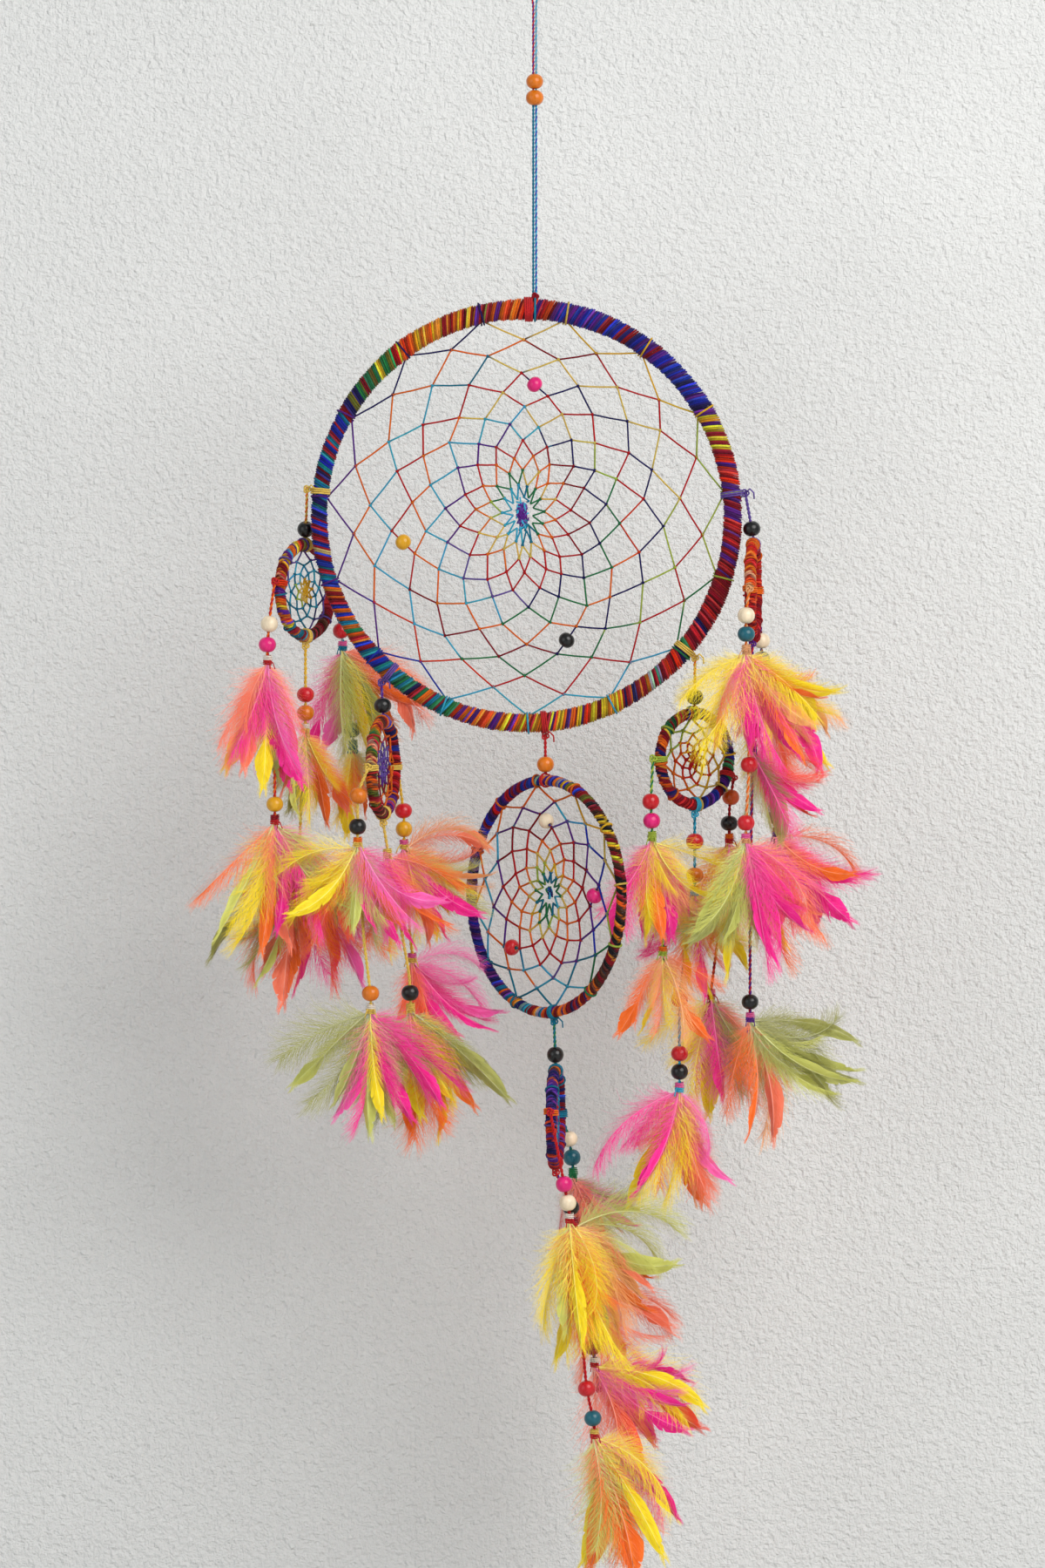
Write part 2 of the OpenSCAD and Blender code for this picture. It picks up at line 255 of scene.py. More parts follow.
def paintMaterial(name, colour, wood=(0.55, 0.36, 0.2)):
    bench = Bench(name, IOR=1.46, Coat_Roughness=0.1, Specular_IOR_Level=0.3)
    grain = bench.spots(420, 4, 0.6, (1, 1, 0.25))
    dents = bench.spots(900, 2, 0.5)
    rim = bench.own("rim", 2)
    worn = bench.remap(rim + bench.remap(dents, 0.3, 0.7, (-0.05, 0.05)), 0.93, 0.99)
    shade = bench.mix(bench.remap(grain, 0.35, 0.7), tuple(c * 0.82 for c in colour),
        tuple(min(1, c * 1.1 + 0.01) for c in colour))
    return bench.feed(
        Base_Color=bench.mix(worn * 0.7, shade, wood),
        Roughness=bench.remap(grain, 0.3, 0.7, (0.24, 0.4)) + worn * 0.3,
        Coat_Weight=0.35 - worn * 0.35,
        Normal=bench.bump(grain * 0.6 + dents * 0.4, 0.25, 0.0003),
    )


beadPaints = {
    "ivory": dye(232, 214, 184), "deeppink": dye(216, 16, 112), "gold": dye(214, 156, 12),
    "crimson": dye(196, 14, 30), "darkorange": dye(212, 112, 4), "teal": dye(2, 86, 102),
    "black": dye(5, 6, 7), "olive": dye(62, 66, 36), "peru": dye(200, 78, 14),
    "firebrick": dye(146, 26, 24),
}
beadMaterials = {name: paintMaterial("paint_" + name, colour) for name, colour in beadPaints.items()}

steel = Bench("hoop_steel", Metallic=1.0, Specular_IOR_Level=0.5)
scratches = steel.spots(700, 3, 0.6, (1, 1, 6))
steelMaterial = steel.feed(
    Base_Color=steel.mix(scratches, dye(130, 130, 132), dye(190, 190, 188)),
    Roughness=steel.remap(scratches, 0.3, 0.7, (0.3, 0.5)),
    Normal=steel.bump(scratches, 0.1, 0.0002),
)
for node in frame["nodes"].values():
    if node.name.endswith("_core"):
        node.data.materials.clear()
        node.data.materials.append(steelMaterial)
print("materials of wool, thread, paint and steel done")


# hoops: where a point lies on a hoop that stands on edge and is turned about the vertical
def hoopPoint(hoop, radius, angle, off=0.0):
    a, t = math.radians(angle), math.radians(hoop["turn"])
    return hoop["centre"] + Vector((
        radius * math.cos(a) * math.cos(t) - off * math.sin(t),
        radius * math.cos(a) * math.sin(t) + off * math.cos(t),
        radius * math.sin(a),
    ))


def hoopPoints(hoop, radius, angle, off):  # the same for arrays
    a, t = np.radians(angle), math.radians(hoop["turn"])
    c, s = math.cos(t), math.sin(t)
    flat = radius * np.cos(a)
    return np.stack([flat * c - off * s, flat * s + off * c, radius * np.sin(a)],
        1) + np.array(hoop["centre"])


# ring and wrap are the radii of the ring and of the wool on it in millimetres, turn the angle about the
# vertical, slant the windings' lean in degrees, stripe the windings before the dye changes, fuzz the count
# of
# loose hairs, girth the wool's share of its wrap at some angles, and bands the dyes from an angle on
smallHoop = {
    "ring": 21, "wrap": 2.75, "windings": 124, "yarn": 1.1, "ridges": 38, "perTurn": 10, "fuzz": 260,
    "slant": 27, "stripe": (1, 1, 2, 2, 3),
}
hoops = {
    "main_hoop": {
        "body": "large_hoop", "ring": 95, "wrap": 4.5, "turn": 0, "windings": 560, "yarn": 1.06,
        "ridges": 152, "perTurn": 12, "fuzz": 2200, "slant": 22, "stripe": (1, 2, 2, 3),
        "girth": [(-180, 0.84), (-140, 0.94), (-90, 1), (20, 1), (60, 1.07), (95, 1.1), (130, 1),
            (160, 0.87), (180, 0.84)],
        "bands": [
            (-180, "maroon blue peach maroon blue"), (-168, "orange blue maroon teal orange"),
            (-150, "orange teal maroon green blue orange"), (-128, "green orange teal maroon orange navy"),
            (-112, "orange vermilion purple orange yellow"), (-90, "orange maroon yellow purple vermilion"),
            (-72, "yellow maroon navy orange maroon yellow"),
            (-54, "maroon green navy vermilion maroon grey"), (-38, "maroon crimson maroon navy maroon"),
            (-22, "maroon crimson maroon purple"), (0, "maroon vermilion maroon purple crimson"),
            (17, "maroon vermilion yellow"), (22, "yellow orange purple maroon"),
            (28, "blue blue navy purple"), (50, "blue navy purple maroon blue"), (68, "blue blue purple"),
            (82, "purple maroon vermilion"), (88, "vermilion orange maroon"),
            (94, "olive purple maroon orange"), (104, "orange vermilion maroon orange yellow"),
            (116, "vermilion orange red yellow orange"), (128, "olive maroon yellow green maroon"),
            (140, "maroon olive green maroon navy"), (150, "teal maroon blue maroon"),
            (163, "blue maroon teal navy maroon"),
        ],
    },
    "middle_hoop": {
        "body": "middle_hoop", "ring": 53.3, "wrap": 2.6, "turn": -50, "windings": 310, "yarn": 1.06,
        "ridges": 92, "perTurn": 10, "fuzz": 800, "slant": 32, "stripe": (1, 2, 2, 3),
        "bands": [
            (-180, "navy vermilion purple blue"), (-150, "navy purple vermilion blue"),
            (-128, "purple orange teal navy"), (-108, "orange grey maroon teal"),
            (-92, "maroon orange purple"), (-76, "orange navy maroon orange"),
            (-50, "maroon brown orange black"), (-25, "orange brown black maroon"),
            (10, "yellow black maroon brown"), (34, "black yellow maroon brown"),
            (52, "olive yellow maroon blue"), (66, "blue yellow olive"), (76, "blue orange grey purple"),
            (98, "blue purple maroon"), (112, "purple navy maroon red"), (135, "blue purple maroon navy"),
            (158, "blue navy purple"),
        ],
    },
    "left_upper": {
        **smallHoop, "body": "left_upper_hoop", "turn": 58,
        "bands": [(-180, "orange purple maroon yellow"), (-130, "orange teal maroon peach"),
            (-90, "maroon maroon brown"), (-40, "maroon red maroon"),
            (20, "maroon brown teal"), (70, "orange olive maroon teal"),
            (110, "orange yellow purple teal"), (150, "orange purple peach maroon")],
    },
    "left_lower": {
        **smallHoop, "body": "left_lower_hoop", "turn": 76,
        "bands": [(-180, "olive maroon orange brown"), (-120, "maroon peach brown navy"),
            (-80, "purple maroon orange"), (-40, "maroon red maroon"),
            (10, "navy blue maroon"), (60, "blue navy orange"), (90, "orange maroon brown"),
            (130, "maroon olive peach green")],
    },
    "right_upper": {
        **smallHoop, "body": "right_upper_hoop", "turn": 84,
        "bands": [(-180, "red maroon vermilion"), (-120, "maroon red maroon"),
            (-60, "maroon red vermilion"), (0, "maroon red vermilion"), (60, "vermilion red orange"),
            (100, "vermilion orange red"), (150, "orange vermilion peach")],
    },
    "right_lower": {
        **smallHoop, "body": "right_lower_hoop", "turn": 40,
        "bands": [(-180, "maroon navy orange purple"), (-130, "maroon red maroon"),
            (-90, "navy blue purple"), (-60, "purple green navy maroon"),
            (0, "navy blue purple"), (60, "orange blue maroon"), (110, "maroon yellow green"),
            (150, "maroon orange navy")],
    },
    "bottom": {
        **smallHoop, "body": "bottom_hoop", "turn": 84,
        "bands": [(-180, "navy purple vermilion"), (-120, "maroon navy vermilion"),
            (-60, "maroon red purple"), (0, "navy blue maroon"),
            (50, "vermilion blue navy"), (75, "orange vermilion brown"), (110, "orange purple navy"),
            (140, "blue navy purple")],
    },
}
for name, hoop in hoops.items():
    hoop["wrapNode"] = name + "_wrap" if name.endswith("_hoop") else name + "_hoop_wrap"
    low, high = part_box(hoop["wrapNode"])
    hoop["centre"] = (low + high) / 2
    hoop["ring"] *= mm
    hoop["wrap"] *= mm


def girthAt(hoop, angle):  # half the thickness of the wool at an angle
    angles, shares = zip(*hoop.get("girth", [(-180, 1), (180, 1)]))
    return hoop["wrap"] * np.interp((np.asarray(angle) + 180) % 360 - 180, angles, shares)


# groove is the painted shade in the grooves between windings: the share of the tint left at the deepest point
woolLook = {
    "shade": (0.6, 1.2), "lighter": 1.8, "lighterShare": 0.4, "brightest": 0.9, "uneven": 0.12,
    "ridge": 0.1, "paintedGrooveShade": 0.42, "swells": ((0.035, 7), (0.03, 19)), "hairLength": (0.5, 1.9),
    "hairThick": 0.07, "hairDrift": 0.7,
}


def windHoop(name, hoop, seed):
    chance = random.Random(seed)
    noises = np.random.default_rng(seed)
    turns, per = hoop["windings"], hoop["perTurn"]
    yarn = hoop["yarn"] * mm
    tints, held, left = [], "", 0
    for i in range(turns):
        angle = (i / turns * 360 + 180) % 360 - 180
        if left <= 0:
            band = [b for b in hoop["bands"] if b[0] <= angle][-1][1].split()
            held = chance.choice([c for c in band if c != held] or band)
            left = chance.choice(hoop["stripe"])
        left -= 1
        # the odd lighter strand between two stripes
        light = woolLook["lighter"] if left == 0 and chance.random() < woolLook["lighterShare"] else 1.0
        shades = [c * light * chance.uniform(*woolLook["shade"]) + 0.02 * (light - 1) for c in dyed(held)]
        tints.append(tuple(min(woolLook["brightest"], c) for c in shades))
    count = turns * per
    k = np.arange(count)
    part, uneven = k / count, woolLook["uneven"]
    lift = np.repeat(noises.uniform(-uneven, uneven, turns), per) * yarn
    lumps = 1
    for i, (size, waves) in enumerate(woolLook["swells"], 1):
        lumps = lumps + size * np.sin(2 * np.pi * part * waves + i * seed)
    around = 2 * np.pi * k / per
    ridge = np.abs(np.sin(np.pi * part * hoop["ridges"] + 0.9 * np.sin(2 * np.pi * part * 9)))
    reach = (girthAt(hoop, part * 360) - yarn / 2) * (lumps + woolLook["ridge"] * (ridge - 0.7)) + lift
    slant = math.degrees(math.tan(math.radians(hoop["slant"])) * hoop["wrap"] / hoop["ring"])
    angles = part * 360 - slant * np.cos(around)
    angles += np.repeat(noises.uniform(-uneven, uneven, turns), per) * 360 / turns
    points = hoopPoints(hoop, hoop["ring"] + reach * np.cos(around), angles, reach * np.sin(around))
    # painted shade: the tint is darkened in the grooves between the ridges of the wound yarn, where shade falls
    dark = woolLook["paintedGrooveShade"] + (1 - woolLook["paintedGrooveShade"]) * ridge
    runs = [{"points": points, "tint": np.repeat(np.array(tints), per, axis=0) * dark[:, None],
        "closed": True}]
    piece = addPiece(name + "_wool", yarnMesh(name + "_wool", runs, yarn), hoop["body"], wool, slot="wool")
    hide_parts(hoop["wrapNode"])
    hairs = []
    for _ in range(hoop["fuzz"]):
        angle, around = chance.uniform(0, 360), chance.uniform(0, 2 * math.pi)
        base = float(girthAt(hoop, angle)) * 0.97
        length = chance.uniform(*woolLook["hairLength"]) * mm
        drift = chance.uniform(-woolLook["hairDrift"], woolLook["hairDrift"])
        tint = np.array(tints[int(angle / 360 * turns) % turns]) * 1.15 + 0.01
        line = []
        for s in (0, 0.35, 0.7, 1.0):
            r, a = base + length * (s - 0.35 * s * s), around + drift * s * length / base * 1.6
            line.append(hoopPoint(hoop, hoop["ring"] + r * math.cos(a),
                angle + drift * s * s * 0.06 / hoop["ring"], r * math.sin(a)))
        hairs.append({"points": line, "tint": tint, "radius": (1, 0.8, 0.6, 0.25)})
    fuzz = yarnMesh(name + "_wool_fuzz", hairs, woolLook["hairThick"] * mm, 4)
    addPiece(name + "_wool_fuzz", fuzz, hoop["body"], wool, slot="wool")


for number, (name, hoop) in enumerate(hoops.items()):
    windHoop(name, hoop, 11 + number)
print("hoops wound with wool")

# nets: one thread hitched to the hoop, then on itself, round after round
# rounds shape the net and hub of them are hitched; start is the first hitch's angle; squeeze and shift
# place the net's middle; beads are round, hitch, way back and paint; dyes are the thread's colours in
# each round, counter-clockwise from the right; tangle is the thread darned across the middle
smallNet = {"points": 8, "rounds": 4, "hub": 5, "thick": 0.85, "start": 6.7}
nets = {
    "main_hoop": {
        "node": "main_web", "uneven": 1.9, "points": 15, "rounds": 10, "hub": 11, "thick": 0.88,
        "start": 6.7, "squeeze": (-0.26, 0.18), "shift": (-1.6, 1.2),
        "beads": [(3, 1, 1, "deeppink"), (3, 6, 0, "gold"), (3, 10, 0, "black")],
        "beadNode": "main_web_beads",
        "dyes": [
            "lime yellow amber navy navy purple purple blue sky sky green lime",
            "red crimson maroon orange orange orange orange vermilion red red red red",
            "amber amber amber teal sky sky sky sky green green lime lime",
            "navy navy navy red red red crimson maroon maroon navy navy navy",
            "red red red amber orange orange orange orange orange orange orange vermilion",
            "lime amber amber sky sky sky sky sky green green green green",
            "navy navy sky purple purple purple violet violet violet navy navy navy",
            "maroon maroon crimson crimson red red red red red red crimson maroon",
            "red orange orange orange orange orange amber orange red red red red",
            "amber orange amber green green lime amber amber amber amber orange orange",
            "green green teal sky sky sky sky sky sky teal green green",
        ],
        "tangle": {"reach": (4.4, 10), "dyes": "teal sky sky violet purple purple purple violet purple",
            "threads": 190},
    },
    "middle_hoop": {
        "node": "middle_web", "uneven": 1.2, "points": 12, "rounds": 7, "hub": 8, "thick": 0.96,
        "start": 6.7, "squeeze": (-0.1, 0.05), "shift": (3, 2),
        "beads": [(2, 1, 1, "ivory"), (2, 10, 1, "deeppink"), (2, 6, 0, "crimson")], "beadNode": None,
        "dyes": [
            "amber yellow orange orange orange orange sky teal teal sky green lime",
            "blue sky purple purple sky sky orange orange sky teal blue blue",
            "purple purple violet maroon maroon purple purple teal sky violet purple purple",
            "maroon crimson maroon red red crimson red red red red crimson maroon",
            "red red orange orange red red orange orange red red orange red",
            "orange orange amber amber orange orange orange amber amber orange orange orange",
            "amber yellow yellow lime lime amber amber yellow green lime amber amber",
            "green teal teal green lime green teal green green teal sky green",
        ],
        "tangle": {"reach": (2.6, 5.2), "dyes": "teal green sky navy blue navy blue", "threads": 40},
    },
    "left_upper": {
        **smallNet, "node": "left_upper_web",
        "dyes": ["purple violet teal violet", "teal sky teal navy", "sky teal sky", "sky lime teal",
            "yellow amber yellow"],
        "tangle": {"reach": (3, 6.4), "dyes": "amber yellow yellow", "threads": 64},
    },
    "left_lower": {
        **smallNet, "node": "left_lower_web",
        "dyes": ["orange crimson orange", "crimson maroon orange", "violet maroon", "violet purple",
            "violet"],
        "tangle": {"reach": (3.4, 6), "dyes": "violet purple violet", "threads": 44},
    },
    "right_upper": {
        **smallNet, "node": "right_upper_web",
        "dyes": ["orange red", "red orange", "orange", "red", "orange"],
        "tangle": {"reach": (2.4, 4), "dyes": "orange red", "threads": 20},
    },
    "right_lower": {
        **smallNet, "node": "right_lower_web", "thick": 1.0,
        "dyes": ["yellow lime orange amber", "lime orange yellow", "orange vermilion", "vermilion red",
            "red"],
        "tangle": {"reach": (4.2, 5.2), "dyes": "red crimson red", "threads": 60},
    },
    "bottom": {
        **smallNet, "node": "bottom_web",
        "dyes": ["teal violet", "sky teal", "violet sky", "red violet", "red"],
        "tangle": {"reach": (2.4, 4), "dyes": "red violet", "threads": 20},
    },
}


def netPoint(hoop, net, k, j):
    radius = hoop["ring"] - hoop["wrap"]
    part = max(0.0, 1 - k / (net["rounds"] + 2.5)) ** 1.25
    a = math.radians(net["start"] + 360 / net["points"] * (j + k / 2))
    inner = (1 - part) ** 2
    sx, sz = net.get("squeeze", (0, 0))
    dx, dz = net.get("shift", (0, 0))
    chance = random.Random(1000 * k + (j % net["points"]))
    uneven = net.get("uneven", 0.4) * mm * min(1, k) * (0.3 + part)
    x = radius * part * math.cos(a) * (1 + sx * inner) + dx * mm * inner + chance.uniform(-1, 1) * uneven
    z = radius * part * math.sin(a) * (1 + sz * inner) + dz * mm * inner + chance.uniform(-1, 1) * uneven
    t = math.radians(hoop["turn"])
    return hoop["centre"] + Vector((x * math.cos(t), x * math.sin(t), z))


def weaveNet(name, net, seed):
    hoop, chance = hoops[name], random.Random(seed)
    thick = net["thick"] * mm
    away = Vector((-math.sin(math.radians(hoop["turn"])), math.cos(math.radians(hoop["turn"])), 0))
    runs, knots = [], []

    def tintAt(k, j):
        words = net["dyes"][k].split()
        turn = (net["start"] + 360 / net["points"] * (j + k / 2)) % 360
        return dyed(words[int(turn / 360 * len(words))], 0.74)

    for k in range(net["hub"]):
        for j in range(net["points"]):
            for start, end in (((k, j), (k + 1, j)), ((k + 1, j), (k, j + 1))):
                a, b = netPoint(hoop, net, *start), netPoint(hoop, net, *end)
                if k == 0:
                    rim = start if start[0] == 0 else end
                    out = (netPoint(hoop, net, *rim) - hoop["centre"]).normalized() * hoop["wrap"] * 0.3
                    a, b = (a + out, b) if start[0] == 0 else (a, b + out)
                span = (b - a).length
                tint = tuple(c * chance.uniform(0.9, 1.1) for c in tintAt(k, start[1]))
                after = tintAt(k, end[1] + (end[0] > k) * 0.5)
                middle = (a + b) / 2 + Vector((0, 0, -span * 0.012)) + away * chance.uniform(-0.2, 0.2) * mm
                runs.append({"points": [a, a.lerp(middle, 0.5), middle, middle.lerp(b, 0.5), b],
                    "tint": [tint, tint, tint, tint, after]})
                if start[0] == k and k > 0 or k == 0 and start[0] == 1:
                    knots.append((a, (b - a).normalized(), tint))
    # a hitch is two small turns of thread round the crossing
    for place, along, tint in knots:
        side = along.cross(away).normalized()
        coil = []
        for s in range(11):
            t = s / 10 * 4 * math.pi
            around = (side * math.cos(t) + away * math.sin(t)) * thick * 0.62
            coil.append(place + around + along * thick * (s / 10 - 0.5) * 0.9)
        runs.append({"points": coil, "tint": tint, "radius": 0.8})
    # loops of the first round about the wool
    for j in range(net["points"]):
        rim = net["start"] + 360 / net["points"] * j
        reach, drift = float(girthAt(hoop, rim)) + thick * 0.3, math.degrees(1.3 * mm / hoop["ring"])
        coil = []
        for s in range(13):
            a = math.radians(s * 30 + 180)
            coil.append(hoopPoint(hoop, hoop["ring"] + reach * math.cos(a), rim + (s / 12 - 0.5) * drift,
                reach * math.sin(a)))
        runs.append({"points": coil, "tint": tintAt(0, j)})
    # the last of the thread is darned to and fro across the middle
    tangle, t = net["tangle"], math.radians(hoop["turn"])
    words, shift, last = tangle["dyes"].split(), net.get("shift", (0, 0)), None
    for i in range(tangle["threads"]):
        share = i / tangle["threads"]
        near, a = (1 - 0.5 * share) * chance.uniform(0.3, 1.0), chance.uniform(0, 2 * math.pi)
        x = (tangle["reach"][0] * near * math.cos(a) + shift[0]) * mm
        z = (tangle["reach"][1] * near * math.sin(a) + shift[1]) * mm
        place = hoop["centre"] + Vector((x * math.cos(t), x * math.sin(t), z))
        place += away * chance.uniform(-0.7, 0.7) * mm
        if last and (place - last).length < 1.3 * tangle["reach"][0] * mm:
            tint = dyed(words[min(len(words) - 1, int(share * len(words)))])
            runs.append({"points": [last, (last + place) / 2 + away * chance.uniform(-0.4, 0.4) * mm,
                place], "tint": tint, "radius": 0.9})
        last = place
    piece = addPiece(net["node"] + "_thread", yarnMesh(net["node"] + "_thread", runs, thick), hoop["body"],
        thread, slot="thread")
    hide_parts(net["node"])


for number, (name, net) in enumerate(nets.items()):
    weaveNet(name, net, 31 + number)
print("nets hitched")

# beads: a round profile with its bore, spun about its own axis
beadCut = {"radius": 4.0, "bore": 1.15, "flat": 0.93, "edge": 72}


def spinBead(steps=24, rings=11):
    shape = bmesh.new()
    rim = shape.verts.layers.float.new("rim")
    radius, bore = beadCut["radius"] * mm, beadCut["bore"] * mm
    flat, edge = beadCut["flat"], beadCut["edge"]
    outline = []
    for i in range(rings):
        a = math.radians(edge - 2 * edge * i / (rings - 1))
        v = shape.verts.new((radius * math.cos(a) ** 0.9, 0, radius * flat * math.sin(a)))
        v[rim] = abs(math.sin(a))
        outline.append(v)
    for share in (-0.86, 0, 0.86):
        v = shape.verts.new((bore * 0.85, 0, radius * flat * share))
        v[rim] = 1.0
        outline.append(v)
    edges = [shape.edges.new((a, b)) for a, b in zip(outline, outline[1:] + outline[:1])]
    bmesh.ops.spin(shape, geom=outline + edges, cent=(0, 0, 0), axis=(0, 0, 1), angle=2 * math.pi,
        steps=steps, use_merge=True)
    bmesh.ops.remove_doubles(shape, verts=shape.verts, dist=1e-6)
    bmesh.ops.recalc_face_normals(shape, faces=shape.faces)
    for face in shape.faces:
        face.smooth = True
    mesh = bpy.data.meshes.new("bead")
    shape.to_mesh(mesh)
    shape.free()
    return mesh


beadShape = spinBead()


def joinShapes(name, shapes):  # shapes: objects, joined into one named piece that isn't riding yet
    first = shapes[0]
    chosen = {"active_object": first, "object": first, "selected_objects": shapes,
        "selected_editable_objects": shapes}
    with bpy.context.temp_override(**chosen):
        bpy.ops.object.join()
    first.name = first.data.name = name
    return first


def loose(name, mesh):
    piece = bpy.data.objects.new(name, mesh)
    world.collection.objects.link(piece)
    return piece


def stringBeads(name, beads, body, seed):
    # beads: place, direction of the bore, paint, size
    chance, shapes = random.Random(seed), []
    for place, along, paint, size in beads:
        mesh = beadShape.copy()
        squash = Matrix.Diagonal((chance.uniform(0.97, 1.03), chance.uniform(0.97, 1.03),
            chance.uniform(0.96, 1.03), 1))
        spun = Vector((0, 0, 1)).rotation_difference(Vector(along)).to_matrix().to_4x4()
        spun = spun @ Matrix.Rotation(chance.uniform(0, 6), 4, "Z")
        mesh.transform(Matrix.Translation(place) @ spun @ squash @ Matrix.Scale(size, 4))
        mesh.materials.append(beadMaterials[paint])
        shapes.append(loose("bead", mesh))
    piece = joinShapes(name, shapes) if len(shapes) > 1 else shapes[0]
    piece.name = name
    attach(piece, body)
    return piece


for number, (name, net) in enumerate(nets.items()):
    if net.get("beads"):
        strung = []
        for k, j, back, paint in net["beads"]:
            a, b = netPoint(hoops[name], net, k, j + back), netPoint(hoops[name], net, k + 1, j)
            strung.append(((a + b) / 2, (b - a).normalized(), paint, 0.92))
        piece = stringBeads(net["node"] + "_beads", strung, hoops[name]["body"], 51 + number)
        if net["beadNode"]:
            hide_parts(net["beadNode"])


# knots and windings of thread
def trefoil(place, size, tint, thick=1.0):
    points = []
    for i in range(30):
        t = 2 * math.pi * i / 30
        r = 2 + math.cos(3 * t)
        points.append(place + Vector((r * math.cos(2 * t), 0.9 * math.sin(3 * t),
            r * math.sin(2 * t))) * size / 3)
    return {"points": points, "tint": tint, "closed": True, "radius": thick}


tieLook = {"pointsPerTurn": 14, "lift": 0.45, "uneven": 0.06}


def tieRuns(hoop, angle, tint, turns=3, spread=0.9, seed=0):
    # a cord wound round the hoop's wool at one place
    chance, line, count = random.Random(seed), [], turns * tieLook["pointsPerTurn"] + 1
    for s in range(count):
        a = 2 * math.pi * s / tieLook["pointsPerTurn"] + 0.4
        shift = (s / (count - 1) - 0.5) * turns * spread * mm
        reach = float(girthAt(hoop, angle)) + tieLook["lift"] * mm
        reach += chance.uniform(-tieLook["uneven"], tieLook["uneven"]) * mm
        place = angle + math.degrees(shift / hoop["ring"])
        line.append(hoopPoint(hoop, hoop["ring"] + reach * math.cos(a), place, reach * math.sin(a)))
    return [{"points": line, "tint": tint}]


bindingLook = {"turns": 6, "pointsPerTurn": 10, "radius": 1.75, "height": 4.4, "belly": 0.22,
    "uneven": 0.12}


def bindingRuns(top, tints, seed):
    # thread wound round the quills where they meet the cord, with two loose ends
    chance, line = random.Random(seed), []
    radius, height, uneven = bindingLook["radius"], bindingLook["height"], bindingLook["uneven"]
    count = bindingLook["turns"] * bindingLook["pointsPerTurn"] + 1
    for s in range(count):
        a = 2 * math.pi * s / bindingLook["pointsPerTurn"]
        z = -height * mm * s / (count - 1)
        r = (radius + bindingLook["belly"] * math.sin(s / count * math.pi) + chance.uniform(-uneven,
            uneven)) * mm
        line.append(top + Vector((r * math.cos(a), r * math.sin(a), z)))
    tint = [tints[0]] * (count // 2) + [tints[-1]] * (count - count // 2)
    tails = []
    for _ in range(2):
        lean = chance.uniform(-0.8, 0.8)
        start = top + Vector((radius * mm * math.copysign(0.6, lean), -radius * mm, -height * 0.5 * mm))
        bend, tip = Vector((lean * 2, -1, -1.4)) * mm, Vector((lean * 3.4, -1.2, -4.2)) * mm
        tails.append({"points": [start, start + bend, start + tip], "tint": tints[-1], "radius": 0.8})
    return [{"points": line, "tint": tint}] + tails


# the hanging cord: two runs side by side from the hoop up to the loop and back
hanging = {
    "side": [(0.65, -157), (0.65, -120), (0.65, -60), (0.65, -21), (1.4, -18.5), (3, -14), (4, -9),
        (3.6, -4.5), (2.2, -1), (0, 0.6)],
    "thick": 1.2, "ply": 0.52, "lay": 3.4, "sliders": (-57.4, -64.9), "change": -62, "tie": 1.0,
    "dyes": ("sky crimson blue teal", "grey purple sky teal"),
    # each ply's right and left above the change, then below
}
rightSide = [Vector((x, 0, z)) * mm for x, z in hanging["side"]]
leftSide = [Vector((-x, 0, z)) * mm for x, z in hanging["side"][-2::-1]]
hangingPath = rightSide + leftSide


def smoothPath(path, step):
    # rounds a route's corners: a line through the points with even steps
    path = np.asarray(path, float)
    steps = np.r_[0, np.cumsum(np.linalg.norm(np.diff(path, axis=0), axis=1))]
    at = np.linspace(0, steps[-1], max(3, int(round(steps[-1] / step)) + 1))
    line = np.c_[[np.interp(at, steps, path[:, k]) for k in range(3)]].T
    for _ in range(2):
        line[1:-1] = (line[:-2] + 2 * line[1:-1] + line[2:]) / 4
    return line


def lengthOf(path):
    return float(np.linalg.norm(np.diff(np.asarray(path, float), axis=0), axis=1).sum())


hangingLine = smoothPath(hangingPath, 1.5 * mm)
hangingRuns = plyRuns(hangingLine, hanging["thick"] * mm, hanging["lay"] * mm, [(0, 0, 0)])
for k, run in enumerate(hangingRuns):
    x, z = run["points"][:, :1], run["points"][:, 2:]
    right, left, lowRight, lowLeft = (dyed(c) for c in hanging["dyes"][k].split())
    run["tint"] = np.where(z > hanging["change"] * mm, np.where(x > 0, right, left),
        np.where(x < 0, lowLeft, lowRight))
hangingMesh = yarnMesh("hanging_cord_twist", hangingRuns, hanging["thick"] * hanging["ply"] * mm, 6)
hangingCord = addPiece("hanging_cord_twist", hangingMesh, "hanger", twine, slot="cord")
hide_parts("hanging_cord")
slid = [(Vector((0, 0, z * mm)), (0, 0, 1), "darkorange", 1.0) for z in hanging["sliders"]]
sliders = stringBeads("slider_beads_turned", slid, "sliders", 71)
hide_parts("slider_beads")
lengthOf(hangingLine)
print("hanging cord done")

topTie = tieRuns(hoops["main_hoop"], 89.2, dyed("crimson"), 4, 0.95, 5)
topTie += tieRuns(hoops["main_hoop"], 87.4, dyed("teal"), 1, 0.9, 6)
topTie.append(trefoil(Vector((0.2, -1.6, -156.2)) * mm, 1.5 * mm, dyed("maroon")))
addCord("hanging_cord_tie", topTie, hanging["tie"], "large_hoop")

